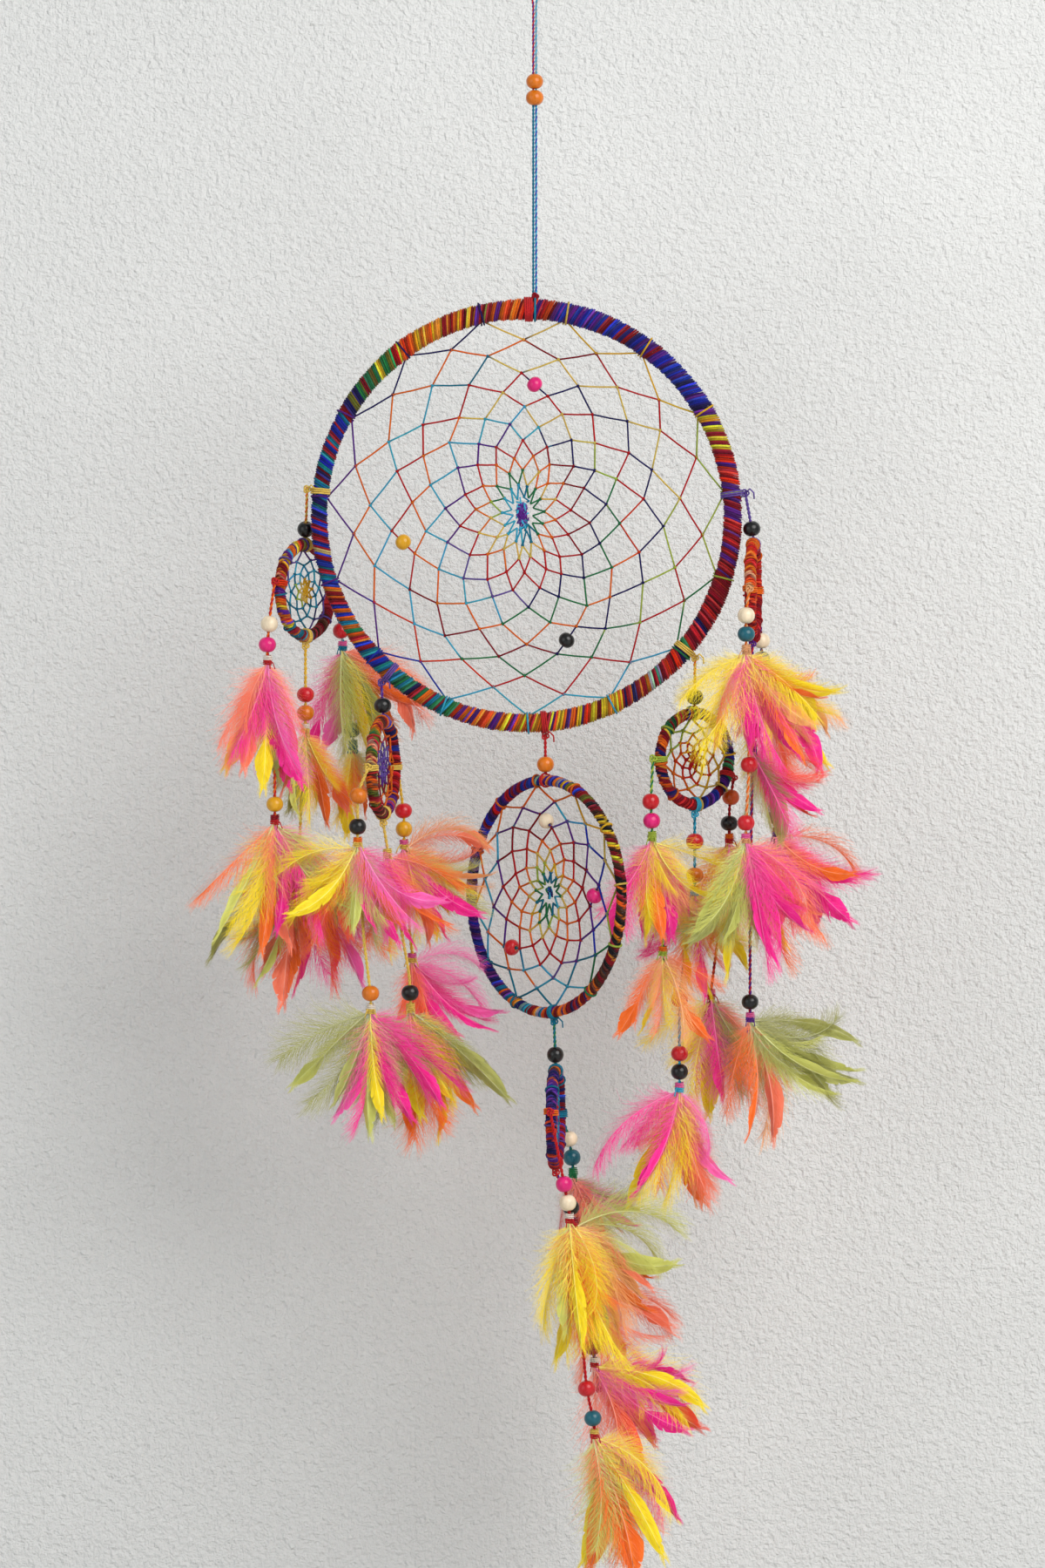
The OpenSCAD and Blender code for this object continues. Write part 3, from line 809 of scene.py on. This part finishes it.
# drops: a short cord from one hoop to the next, with a bead on the lower hoop's top
dropLook = {"thick": 1.5, "lay": 4, "ply": 0.8, "knot": 1.7, "gap": 0.7,
    "tail": ((0, 0, 0), (1.4, -1.2, 1.2), (3.2, -1, -0.6), (3.4, -0.6, -3.4))}
drops = {
    "centre": {
        "above": "main_hoop", "hoop": "middle_hoop", "angle": 275, "cord": "crimson crimson",
        "bead": "darkorange", "pivot": "middle_drop_swing",
    },
    "left_upper": {"above": "main_hoop", "angle": 173, "cord": "amber orange", "bead": "black"},
    "left_lower": {"above": "main_hoop", "angle": 229, "cord": "violet purple", "bead": "black"},
    "right_upper": {"above": "main_hoop", "angle": 6, "cord": "violet violet", "bead": "black"},
    "right_lower": {"above": "main_hoop", "angle": 320, "cord": "amber orange", "bead": "black"},
    "bottom": {"above": "middle_hoop", "angle": 276, "cord": "teal green", "bead": "black"},
}
for number, (name, drop) in enumerate(drops.items()):
    hoop, above = hoops[drop.get("hoop", name)], hoops[drop["above"]]
    body = name + "_drop"
    knot = pivots[drop.get("pivot", name + "_drop_swing")]
    foot = hoop["centre"] + Vector((0, 0, hoop["ring"] + hoop["wrap"] + dropLook["gap"] * mm))
    way = (knot - foot).normalized()
    tints = [dyed(c) for c in drop["cord"].split()]
    runs = plyRuns([knot + way * 0.8 * mm, knot, foot.lerp(knot, 0.5), foot - way * 0.4 * mm],
        dropLook["thick"] * mm, dropLook["lay"] * mm, tints)
    runs.append(trefoil(knot, dropLook["knot"] * mm, tints[0]))
    tail = knot + Vector((0.6, -1.6, 0.6)) * mm
    runs.append({"points": [tail + Vector(place) * mm for place in dropLook["tail"]], "tint": tints[0]})
    cordPiece = addCord(name + "_drop_cord", runs, dropLook["ply"], body)
    beadPiece = stringBeads(name + "_drop_bead", [(foot + way * 4 * mm, way, drop["bead"], 1.0)], body,
        81 + number)
    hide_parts(body)
    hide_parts(body)
    addCord(name + "_top_tie", tieRuns(hoop, 90, tints[0], 2, 0.9, 7 + number), 0.8, hoop["body"])
    addCord(name + "_drop_tie", tieRuns(above, drop["angle"], tints[0], 3, 0.95, 17 + number), 0.85,
        above["body"])
print("drops done")

# strands: knot angle on the small hoop, route of the cord, beads and feather bunches, in millimetres from
# the knot
# a bunch is its height, lean to the right, spread, length, its feathers from left to right and its
# binding's dye
strandLook = {"thick": 1.55, "lay": 4.2, "ply": 0.82, "knots": (1.7, 1.5), "tie": 0.8, "binding": 0.62,
    "round": 1.6}
strands = {
    "left_upper_outer": {
        "hook": 172, "cord": "crimson orange", "tie": "vermilion",
        "route": [(0, 0), (-2, -14), (-3.5, -30), (-2, -60), (0, -80), (0, -114)],
        "beads": [(-19.5, "ivory"), (-29, "deeppink"), (-73.5, "deeppink"), (-102, "gold")],
        "bunches": [
            (-34, -3, 42, 60, "salmon orange olive yellow yellow magenta pink magenta salmon", "white"),
            (-107, 10, 82, 60, "orange yellow lime orange salmon magenta magenta pink magenta peach lime",
                "maroon"),
        ],
    },
    "left_upper_middle": {
        "hook": 270, "cord": "amber yellow", "tie": "amber",
        "route": [(0, 0), (0, -34), (-2, -70), (-3, -104), (-2, -112)],
        "beads": [(-22.5, "crimson"), (-31, "darkorange"), (-96, "darkorange")],
        "bunches": [
            (-36, 10, 64, 44, "olive lime olive coral yellow salmon orange", "white"),
            (-101, -2, 104, 60, "olive lime salmon salmon coral orange magenta coral pink orange",
                "orange"),
        ],
    },
    "left_upper_inner": {
        "hook": 345, "cord": "teal grey", "tie": "crimson",
        "route": [(0, 0), (3, -12), (4, -20), (8, -58), (9, -68)],
        "beads": [(-11.5, "crimson"), (-57.5, "teal")],
        "bunches": [
            (-16.5, 28, 92, 55, "magenta pink lime yellow olive lime orange peach salmon orange", "pink"),
            (-62.5, 4, 60, 40, "yellow peach yellow orange lime", "teal"),
        ],
    },
    "left_lower_outer": {
        "hook": 180, "cord": "amber amber", "tie": "amber",
        "route": [(0, 0), (-4, -9), (-5, -16), (-5, -38), (-2, -80), (1, -104), (1, -116)],
        "beads": [(-13, "darkorange"), (-27, "black"), (-103, "darkorange")],
        "bunches": [
            (-32, 0, 130, 50, "yellow yellow orange coral lime olive magenta orange magenta pink",
                "orange"),
            (-108, 6, 108, 56,
                "olive lime pink yellow yellow lime magenta magenta olive magenta magenta olive", "white"),
        ],
    },
    "left_lower_middle": {
        "hook": 270, "cord": "amber amber", "tie": "amber",
        "route": [(0, 0), (5, -30), (12, -70), (13, -92)], "beads": [(-78, "black")],
        "bunches": [
            (-12, 12, 90, 50, "orange pink yellow magenta salmon orange", "amber"),
            (-83, 17, 76, 60, "olive yellow orange olive orange yellow orange olive yellow olive", "amber"),
        ],
    },
    "left_lower_inner": {
        "hook": 0, "cord": "amber yellow", "tie": "amber",
        "route": [(0, 0), (3, -22), (3, -40), (6, -80), (8, -96)],
        "beads": [(-20, "crimson"), (-28.5, "gold")],
        "bunches": [
            (-33.5, 46, 104, 48,
                "magenta yellow orange magenta pink magenta yellow lime orange peach salmon", "pink"),
            (-86, 30, 84, 52, "orange coral magenta pink orange magenta magenta pink", "pink"),
        ],
    },
    "right_upper_front": {
        "hook": 180, "cord": "peach orange", "tie": "orange",
        "route": [(0, 0), (-1.4, -10), (-1.4, -40), (0, -80), (-1.6, -108), (-1.6, -120)],
        "beads": [(-12, "ivory"), (-20.5, "teal"), (-80, "crimson"), (-106.5, "crimson")],
        "bunches": [
            (-25.5, 22, 130, 55,
                "yellow yellow salmon magenta magenta peach orange magenta yellow peach magenta yellow orange yellow",
                "peach"),
            (-111.5, 10, 84, 62,
                "olive lime lime yellow magenta lime magenta magenta orange yellow magenta salmon", "pink"),
        ],
    },
    "right_upper_middle": {
        "hook": 255, "cord": "purple crimson", "tie": "maroon",
        "route": [(0, 0), (0, -60), (-1, -120), (-1, -178)], "beads": [(-40, "crimson"), (-164, "black")],
        "bunches": [
            (-45, 38, 66, 46, "olive olive coral magenta magenta coral", "maroon"),
            (-169, 46, 96, 58, "orange peach salmon olive lime olive lime olive lime olive", "pink"),
        ],
    },
    "right_upper_back": {
        "hook": 0, "cord": "purple maroon", "tie": "orange",
        "route": [(0, 0), (2, -22), (2, -36), (8, -90), (9, -104), (9, -116)],
        "beads": [(-22.5, "ivory"), (-31, "teal"), (-104, "olive")],
        "bunches": [
            (-36, 36, 70, 52, "yellow orange yellow magenta yellow peach", "amber"),
            (-109, 40, 92, 54, "magenta pink orange magenta magenta pink orange magenta", "maroon"),
        ],
    },
    "right_lower_inner": {
        "hook": 180, "cord": "lime green", "tie": "lime",
        "route": [(0, 0), (-1, -20), (0, -40), (4, -80), (6, -100)],
        "beads": [(-19.6, "crimson"), (-28.4, "deeppink")],
        "bunches": [
            (-33.5, 9, 88, 50, "magenta magenta yellow yellow orange magenta yellow magenta peach yellow",
                "lime"),
            (-86, 6, 80, 44, "orange yellow salmon peach orange", "orange"),
        ],
    },
    "right_lower_middle": {
        "hook": 270, "cord": "sky teal", "tie": "sky",
        "route": [(0, 0), (0, -34), (-4, -60), (-7, -84), (-7, -132)],
        "beads": [(-12.5, "crimson"), (-28, "darkorange"), (-85, "crimson"), (-110, "crimson"),
            (-118.4, "black")],
        "bunches": [
            (-33, 2, 90, 48, "magenta yellow orange yellow magenta orange yellow", "orange"),
            (-123.5, -4, 74, 60, "magenta magenta orange yellow yellow orange peach salmon salmon pink",
                "pink"),
        ],
    },
    "right_lower_outer": {
        "hook": 340, "cord": "crimson maroon", "tie": "crimson",
        "route": [(0, 0), (-2, -14), (-2, -30), (-8, -80), (-12, -110)],
        "beads": [(-9, "peru"), (-21, "black")],
        "bunches": [
            (-26, 8, 90, 50, "orange yellow magenta salmon magenta yellow", "orange"),
            (-98, 10, 76, 58, "yellow magenta yellow magenta pink olive salmon olive", "pink"),
        ],
    },
    "bottom_front": {
        "hook": 172, "cord": "crimson red", "tie": "orange",
        "route": [(0, 0), (6.6, -34), (8.5, -44), (12, -75), (16.6, -126), (20, -142), (21, -156)],
        "beads": [(-33, "deeppink"), (-41.5, "ivory"), (-126, "crimson"), (-139.5, "teal")],
        "bunches": [
            (-46.5, 3, 18, 68, "yellow yellow lime yellow yellow orange yellow", "white"),
            (-144.5, 28, 42, 66, "yellow orange lime orange orange yellow peach magenta yellow", "amber"),
        ],
    },
    "bottom_middle": {
        "hook": 270, "cord": "crimson purple", "tie": "crimson",
        "route": [(0, 0), (6, -12), (8, -20), (14, -60), (17, -80), (20, -100)],
        "beads": [(-16, "black"), (-80, "firebrick")],
        "bunches": [
            (-21, 40, 84, 58, "yellow olive orange peach peach salmon orange lime", "maroon"),
            (-85, 60, 84, 60, "salmon coral salmon coral magenta yellow yellow magenta pink magenta",
                "white"),
        ],
    },
    "bottom_back": {
        "hook": 0, "cord": "green teal", "tie": "teal",
        "route": [(0, 0), (3.6, -11), (5, -20), (8, -50), (14, -90)],
        "beads": [(-11.5, "ivory"), (-20, "teal")],
        "bunches": [
            (-25, 42, 84, 42, "crimson olive salmon pink pink olive", "green"),
            (-78, 34, 64, 50, "orange salmon peach orange salmon", "orange"),
        ],
    },
}

# feathers: soft barbs on a bent quill, with a closed vane towards the tip
plumes = {
    "magenta": dye(255, 30, 160), "pink": dye(255, 104, 190), "yellow": dye(255, 232, 20),
    "orange": dye(255, 120, 26), "coral": dye(255, 84, 54), "salmon": dye(255, 132, 98),
    "peach": dye(255, 182, 112), "lime": dye(214, 218, 112), "olive": dye(172, 174, 92),
    "crimson": dye(206, 44, 50),
}


def plumeMaterial(name, colour):
    bench = Bench(name, Specular_IOR_Level=0.3, Sheen_Weight=0.3, Sheen_Roughness=0.45)
    along, out = bench.own("along"), bench.own("out")
    barbs = bench.add("CombineXYZ", inputs={0: (along - out * 0.13) * 150, 1: out * 2.2,
        2: bench.own("own") * 40})
    streaks = bench.add("TexNoise", inputs={"Vector": barbs, "Scale": 1.0, "Detail": 3, "Roughness": 0.6})
    mottle = bench.spots(170, 3, 0.6)
    pale = tuple(min(1, c * 0.7 + 0.3) for c in colour)
    deep = tuple(c * s for c, s in zip(colour, (0.88, 0.77, 0.66)))
    base = bench.mix(bench.remap(along + bench.remap(mottle, 0.3, 0.7, (-0.12, 0.12)), 0.06, 0.42,
        (0.5, 0)), colour, pale)
    ribbed = bench.mix(bench.remap(streaks, 0.44, 0.68, (0, 0.6)), base, deep)
    lit = bench.mix(bench.remap(streaks, 0.46, 0.34, (0, 0.35)), ribbed, pale)
    quill = bench.remap(out, 0.0, 0.05, (0.6, 0))
    return bench.feed(
        Base_Color=bench.mix(quill, lit, pale),
        Roughness=bench.remap(mottle, 0.3, 0.7, (0.5, 0.75)),
        Normal=bench.bump(streaks, 0.5, 0.0004),
    )


plumeMaterials = {name: plumeMaterial("plume_" + name, colour) for name, colour in plumes.items()}

# how each kind of feather is built: where its closed vane starts, half its width, its barbs on a side and
# how fine they are
featherKinds = {
    "sleek": {"vane": 0.42, "half": 0.118, "peak": 1.3, "splits": 1, "barbs": 125, "thin": 0.005,
        "loose": 0.6},
    "split": {"vane": 0.66, "half": 0.142, "peak": 1.05, "splits": 2, "barbs": 145, "thin": 0.0044,
        "loose": 1.0},
    "downy": {"vane": 1.2, "half": 0.23, "peak": 0.8, "splits": 0, "barbs": 162, "thin": 0.0038,
        "loose": 1.0},
}


def featherShape(kind, seed):
    # a flat feather one unit long, its quill down -Z from the origin
    look, chance = featherKinds[kind], random.Random(seed)
    shape = bmesh.new()
    layers = shape.verts.layers.float
    alongLayer, outLayer, ownLayer = layers.new("along"), layers.new("out"), layers.new("own")
    start = look["vane"]

    def width(s):
        share = min(1, max(0.0, s)) ** look["peak"]
        return look["half"] * max(0.0, math.sin(math.pi * share)) ** 0.5

    def barb(side, s, reach, angle, curve, thin, rise, segments, wave):
        grid = bmesh.ops.create_grid(shape, x_segments=1, y_segments=segments, size=0.5)["verts"]
        own = chance.random()
        for v in grid:
            edge, t = v.co.x, v.co.y + 0.5
            bend = math.radians(angle - curve * t)
            middle = math.radians(angle - curve * t / 2)
            x, z = reach * t * math.sin(middle), -s - reach * t * math.cos(middle)
            sway = wave * reach * math.sin(t * 5 + own * 6) * t
            wide = thin * (1 - 0.8 * t)
            x += (edge * wide + sway) * math.cos(bend)
            z += (edge * wide + sway) * math.sin(bend)
            v.co = (side * x, rise * t + 0.001 * edge + 0.1 * reach * t * t, z)
            v[alongLayer], v[outLayer], v[ownLayer] = s + 0.13 * t, t, own

    for side in (-1, 1):
        if start < 1:  # the closed part of the vane, with a few splits where its barbs have parted
            rows = 30
            splits = {chance.randrange(4, rows - 3): chance.uniform(0.6, 0.9)
                      for _ in range(look["splits"])}
            sheet = bmesh.ops.create_grid(shape, x_segments=5, y_segments=rows, size=0.5)["verts"]
            for v in sheet:
                o, share = v.co.x + 0.5, v.co.y + 0.5
                s = start - 0.08 + (0.985 - start + 0.08) * share
                cut = splits.get(round(share * rows), 1.0)
                reach = width(s + 0.05) * min(1, share / 0.22) ** 0.8 * 0.8
                reach *= 1 if o < cut else cut / max(o, 0.01)
                lead = min(reach * o ** 1.3 * (1.05 - 0.5 * share), (1 - s) * 0.6)
                v.co = (side * o * reach, 0.35 * (o * reach) + 0.004 * math.sin(s * 30 + o * 3),
                    -min(1.0, s + lead))
                v[alongLayer], v[outLayer], v[ownLayer] = s, o, 0.5 + side * 0.2
        for i in range(look["barbs"]):
            s = 0.035 + 0.94 * ((i + chance.random()) / look["barbs"]) ** 1.05
            downy = max(0.0, min(1.0, 1.25 - s / (start * 0.9))) if start < 1 else 1 - 0.45 * s
            fringe = 1.25 + chance.uniform(-0.1, 0.12) + downy * look["loose"] * chance.uniform(0.1, 1.1)
            reach = width(s * 0.94 + 0.05) * fringe
            reach += 0.035 if s > 0.88 else 0
            angle = 52 - 24 * s + chance.uniform(-12, 12) * (0.25 + downy)
            curve = 22 * (1 - downy) + chance.uniform(-35, 45) * downy
            thin = look["thin"] * (1 if downy < 0.5 else 0.8)
            rise = chance.uniform(-0.03, 0.03) * (0.3 + 2.2 * downy)
            barb(side, s, reach, angle, curve, thin, rise, 3, 0.03 + 0.1 * downy)
    quill = bmesh.ops.create_cone(shape, cap_ends=True, segments=5, radius1=0.0095, radius2=0.0022,
        depth=1.0)["verts"]
    for v in quill:
        v.co = (v.co.x, v.co.y, -(v.co.z + 0.5))
        v[alongLayer], v[outLayer] = -v.co.z, 0.0
    quillFaces = {f for v in quill for f in v.link_faces}
    lengthwise = [e for v in quill for e in v.link_edges if abs(e.verts[0].co.z - e.verts[1].co.z) > 0.5]
    cuts = bmesh.ops.subdivide_edges(shape, edges=list(set(lengthwise)), cuts=10)
    for v in cuts["geom_inner"]:
        if isinstance(v, bmesh.types.BMVert):
            v[alongLayer], v[outLayer] = -v.co.z, 0.0
    bmesh.ops.recalc_face_normals(shape,
        faces=[f for f in shape.faces if len(f.verts) == 5 or f in quillFaces])
    for face in shape.faces:
        face.smooth = True
    mesh = bpy.data.meshes.new("feather")
    shape.to_mesh(mesh)
    shape.free()
    return mesh


featherShapes = {kind: [featherShape(kind, 200 + 10 * n + i) for i in range(3)]
                 for n, kind in enumerate(featherKinds)}
print("feather shapes made:", [len(mesh.polygons) for made in featherShapes.values() for mesh in made])


def bendFeather(shape, root, lean, curl, length, broad, roll, forward, deepest):
    # lean: the way it leaves the binding; curl: how much further its tip has turned;
    # forward: how far the tip comes to the front
    mesh = shape.copy()
    flat = np.zeros(len(mesh.vertices) * 3, np.float32)
    mesh.vertices.foreach_get("co", flat)
    p = flat.reshape(-1, 3).astype(float)
    t = np.clip(-p[:, 2], -0.05, 1.3)
    steps = np.linspace(0, 1.3, 60)
    heading = np.radians(lean + curl * steps ** 1.4)
    line = np.cumsum(np.stack([np.sin(heading), -np.cos(heading)], 1), axis=0) * (steps[1] - steps[0])
    line -= line[0]
    x0, z0, a = (np.interp(t, steps, values) for values in (line[:, 0], line[:, 1], heading))
    spin = np.radians(roll * (0.4 + t))
    across, lift = p[:, 0] * broad, p[:, 1]
    flatAcross = across * np.cos(spin) - lift * np.sin(spin)
    x = x0 + flatAcross * np.cos(a)
    z = z0 + flatAcross * np.sin(a)
    y = lift * np.cos(spin) + across * np.sin(spin) - forward * t ** 1.5
    y = deepest * np.tanh(y / deepest)  # how far it may come forward or go back, in its own lengths
    placed = np.stack([x, y, z], 1) * length + np.array(root)
    mesh.vertices.foreach_set("co", placed.astype(np.float32).ravel())
    return mesh


def routeAt(route, z):
    for (x0, z0), (x1, z1) in zip(route, route[1:]):
        if z1 <= z <= z0:
            return x0 + (x1 - x0) * (z - z0) / (z1 - z0)
    return route[-1][0]


bunchLook = {
    "depth": 0.5, "bow": 1.6, "stray": 32, "under": 0.7, "droop": 0.45,
    "kinds": ("sleek", "split", "downy", "split"), "wander": 9, "underWander": 14, "length": (0.74, 1.02),
    "underLength": (0.7, 1.3), "broad": (0.62, 1.0), "roll": 62, "upright": 0.7, "deepest": 0.36,
}


def tieBunch(name, knot, route, bunch, body, seed):
    z, lean, spread, length, plumage, binding = bunch
    chance = random.Random(seed)
    names = plumage.split()
    top = knot + Vector((routeAt(route, z), 0, z)) * mm
    shapes = []

    def addPlume(kind, plume, angle, share, size, layer):
        root = top + Vector((share * 1.6, layer * 2.4, -3.4 - chance.uniform(0, 1.6))) * mm
        if chance.random() < bunchLook["droop"]:  # it stands out from the binding and droops
            lead, curl = angle * 1.25, -angle * 0.75
        else:  # it leaves more upright than its tip lies
            lead = lean * bunchLook["upright"] + (angle - lean) * 0.45
            curl = (angle - lead) * bunchLook["bow"]
        curl += chance.uniform(-1, 1) * bunchLook["stray"]
        shape, broad = chance.choice(featherShapes[kind]), chance.uniform(*bunchLook["broad"])
        roll = chance.uniform(-bunchLook["roll"], bunchLook["roll"])
        forward = -layer * bunchLook["depth"]
        mesh = bendFeather(shape, root, lead, curl, size * mm, broad, roll, forward, bunchLook["deepest"])
        mesh.materials.append(plumeMaterials[plume])
        shapes.append(loose("plume", mesh))

    layers = [i / max(1, len(names) - 1) - 0.5 for i in range(len(names))]
    chance.shuffle(layers)
    for i, plume in enumerate(names):
        share = (i + 0.5) / len(names) - 0.5
        angle = lean + spread * share * 0.9 + chance.uniform(-bunchLook["wander"], bunchLook["wander"])
        kind, size = chance.choice(bunchLook["kinds"]), length * chance.uniform(*bunchLook["length"])
        addPlume(kind, plume, angle, share, size, layers[i])
    for i in range(len(names) + 2):  # shorter, fluffier ones between them
        share = i / (len(names) + 1) - 0.5
        wander = chance.uniform(-bunchLook["underWander"], bunchLook["underWander"])
        angle = lean + (spread + 12) * share + wander
        plume = names[min(len(names) - 1, max(0, i - chance.randrange(3)))]
        size = length * bunchLook["under"] * chance.uniform(*bunchLook["underLength"])
        addPlume("downy", plume, angle, share, size, chance.uniform(-0.5, 0.5))
    piece = joinShapes(name, shapes)
    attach(piece, body)
    return piece, top


for number, (name, strand) in enumerate(strands.items()):
    unit, body = name.rsplit("_", 1)[0], name + "_strand"
    knot = pivots[name + "_strand_swing"]
    route = strand["route"]
    path = smoothPath([knot + Vector((x, 0, z)) * mm for x, z in route], 2 * mm)
    runs = plyRuns(path, strandLook["thick"] * mm, strandLook["lay"] * mm,
        [dyed(c) for c in strand["cord"].split()])
    firstDye, ends = dyed(strand["cord"].split()[0]), (knot, Vector(path[-1]) + Vector((0, 0, 0.6)) * mm)
    for place, size in zip(ends, strandLook["knots"]):
        runs.append(trefoil(place, size * mm, firstDye))
    cordPiece = addCord(name + "_twist", runs, strandLook["ply"], body)
    beads = []
    for z, paint in strand["beads"]:
        ahead = Vector((routeAt(route, z + 3) - routeAt(route, z - 3), 0, 6)).normalized()
        beads.append((knot + Vector((routeAt(route, z), 0, z)) * mm, ahead, paint, 1.0))
    beadPiece = stringBeads(name + "_beads", beads, body, 101 + number)
    bindings = []
    for level, bunch in zip(("upper", "lower"), strand["bunches"]):
        seed = 300 + number * 2 + (level == "lower")
        piece, top = tieBunch(name + "_" + level + "_plumes", knot, route, bunch, body, seed)
        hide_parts(name + "_feathers")
        bindings += bindingRuns(top + Vector((0, 0, 0.2)) * mm, [dyed(bunch[5]), firstDye], number)
    addCord(name + "_bindings", bindings, strandLook["binding"], body, thread, "thread")
    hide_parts(name + "_cord")
    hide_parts(name + "_feathers")
    lengthOf(path)
    tied = tieRuns(hoops[unit], strand["hook"], dyed(strand["tie"]), 3, 0.9, 40 + number)
    addCord(name + "_tie", tied, strandLook["tie"], hoops[unit]["body"])
print("strands, beads and feathers done")

# stage: a pale floor and a pale wall that shows only its front, so that views from behind aren't blocked
stageLook = {"floor": -0.80, "wall": 0.15, "paint": dye(231, 232, 231), "floorPaint": dye(222, 222, 220)}


def plasterMaterial(name, colour, oneSided):
    bench = Bench(name, Roughness=0.95, Specular_IOR_Level=0.15)
    grains = bench.spots(430, 3, 0.62)
    swells = bench.spots(6, 2, 0.5)
    material = bench.feed(
        Base_Color=bench.mix(bench.remap(swells, 0.3, 0.7), colour, tuple(c * 0.93 for c in colour)),
        Normal=bench.bump(grains, 1.0 if oneSided else 0.1, 0.0028),
    )
    if oneSided:
        clear = bench.add("BsdfTransparent")
        behind = bench.add("NewGeometry", out=6)
        mixed = bench.add("MixShader", inputs={0: behind, 1: Wire(bench, bench.shader.outputs[0]),
            2: clear})
        bench.tree.links.new(mixed.socket, bench.tree.nodes["Material Output"].inputs[0])
    return material


def stagePlane(name, size, matrix, material):
    board = bmesh.new()
    bmesh.ops.create_grid(board, x_segments=1, y_segments=1, size=size, matrix=matrix)
    mesh = bpy.data.meshes.new(name)
    board.to_mesh(mesh)
    board.free()
    mesh.materials.append(material)
    loose(name, mesh)


flat = Matrix.Translation((0, 0, stageLook["floor"]))
upright = Matrix.Translation((0, stageLook["wall"], stageLook["floor"] + 0.8))
upright @= Matrix.Rotation(math.pi / 2, 4, "X")
stagePlane("floor", 4, flat, plasterMaterial("floor_plaster", stageLook["floorPaint"], False))
stagePlane("wall", 0.8, upright, plasterMaterial("wall_plaster", stageLook["paint"], True))

lamps = {
    "key": {"place": (1.0, -1.5, 0.6), "aim": (0, 0, -0.4), "size": 1.7, "watts": 36,
        "colour": (1.0, 0.985, 0.96)},
    "fill": {"place": (-1.5, -1.4, -0.1), "aim": (0, 0, -0.4), "size": 1.6, "watts": 7,
        "colour": (0.96, 0.98, 1.0)},
}
for name, lamp in lamps.items():
    light = bpy.data.lights.new(name, "AREA")
    light.shape, light.size, light.energy, light.color = "DISK", lamp["size"], lamp["watts"], lamp["colour"]
    holder = bpy.data.objects.new(name, light)
    holder.location = lamp["place"]
    aim = Vector(lamp["aim"]) - Vector(lamp["place"])
    holder.rotation_euler = aim.to_track_quat("-Z", "Y").to_euler()
    world.collection.objects.link(holder)
sky = bpy.data.worlds.new("studio")
sky.use_nodes = True
sky.node_tree.nodes["Background"].inputs[0].default_value = (*dye(238, 240, 242), 1)
sky.node_tree.nodes["Background"].inputs[1].default_value = 0.5
world.world = sky
print("stage and lights done")
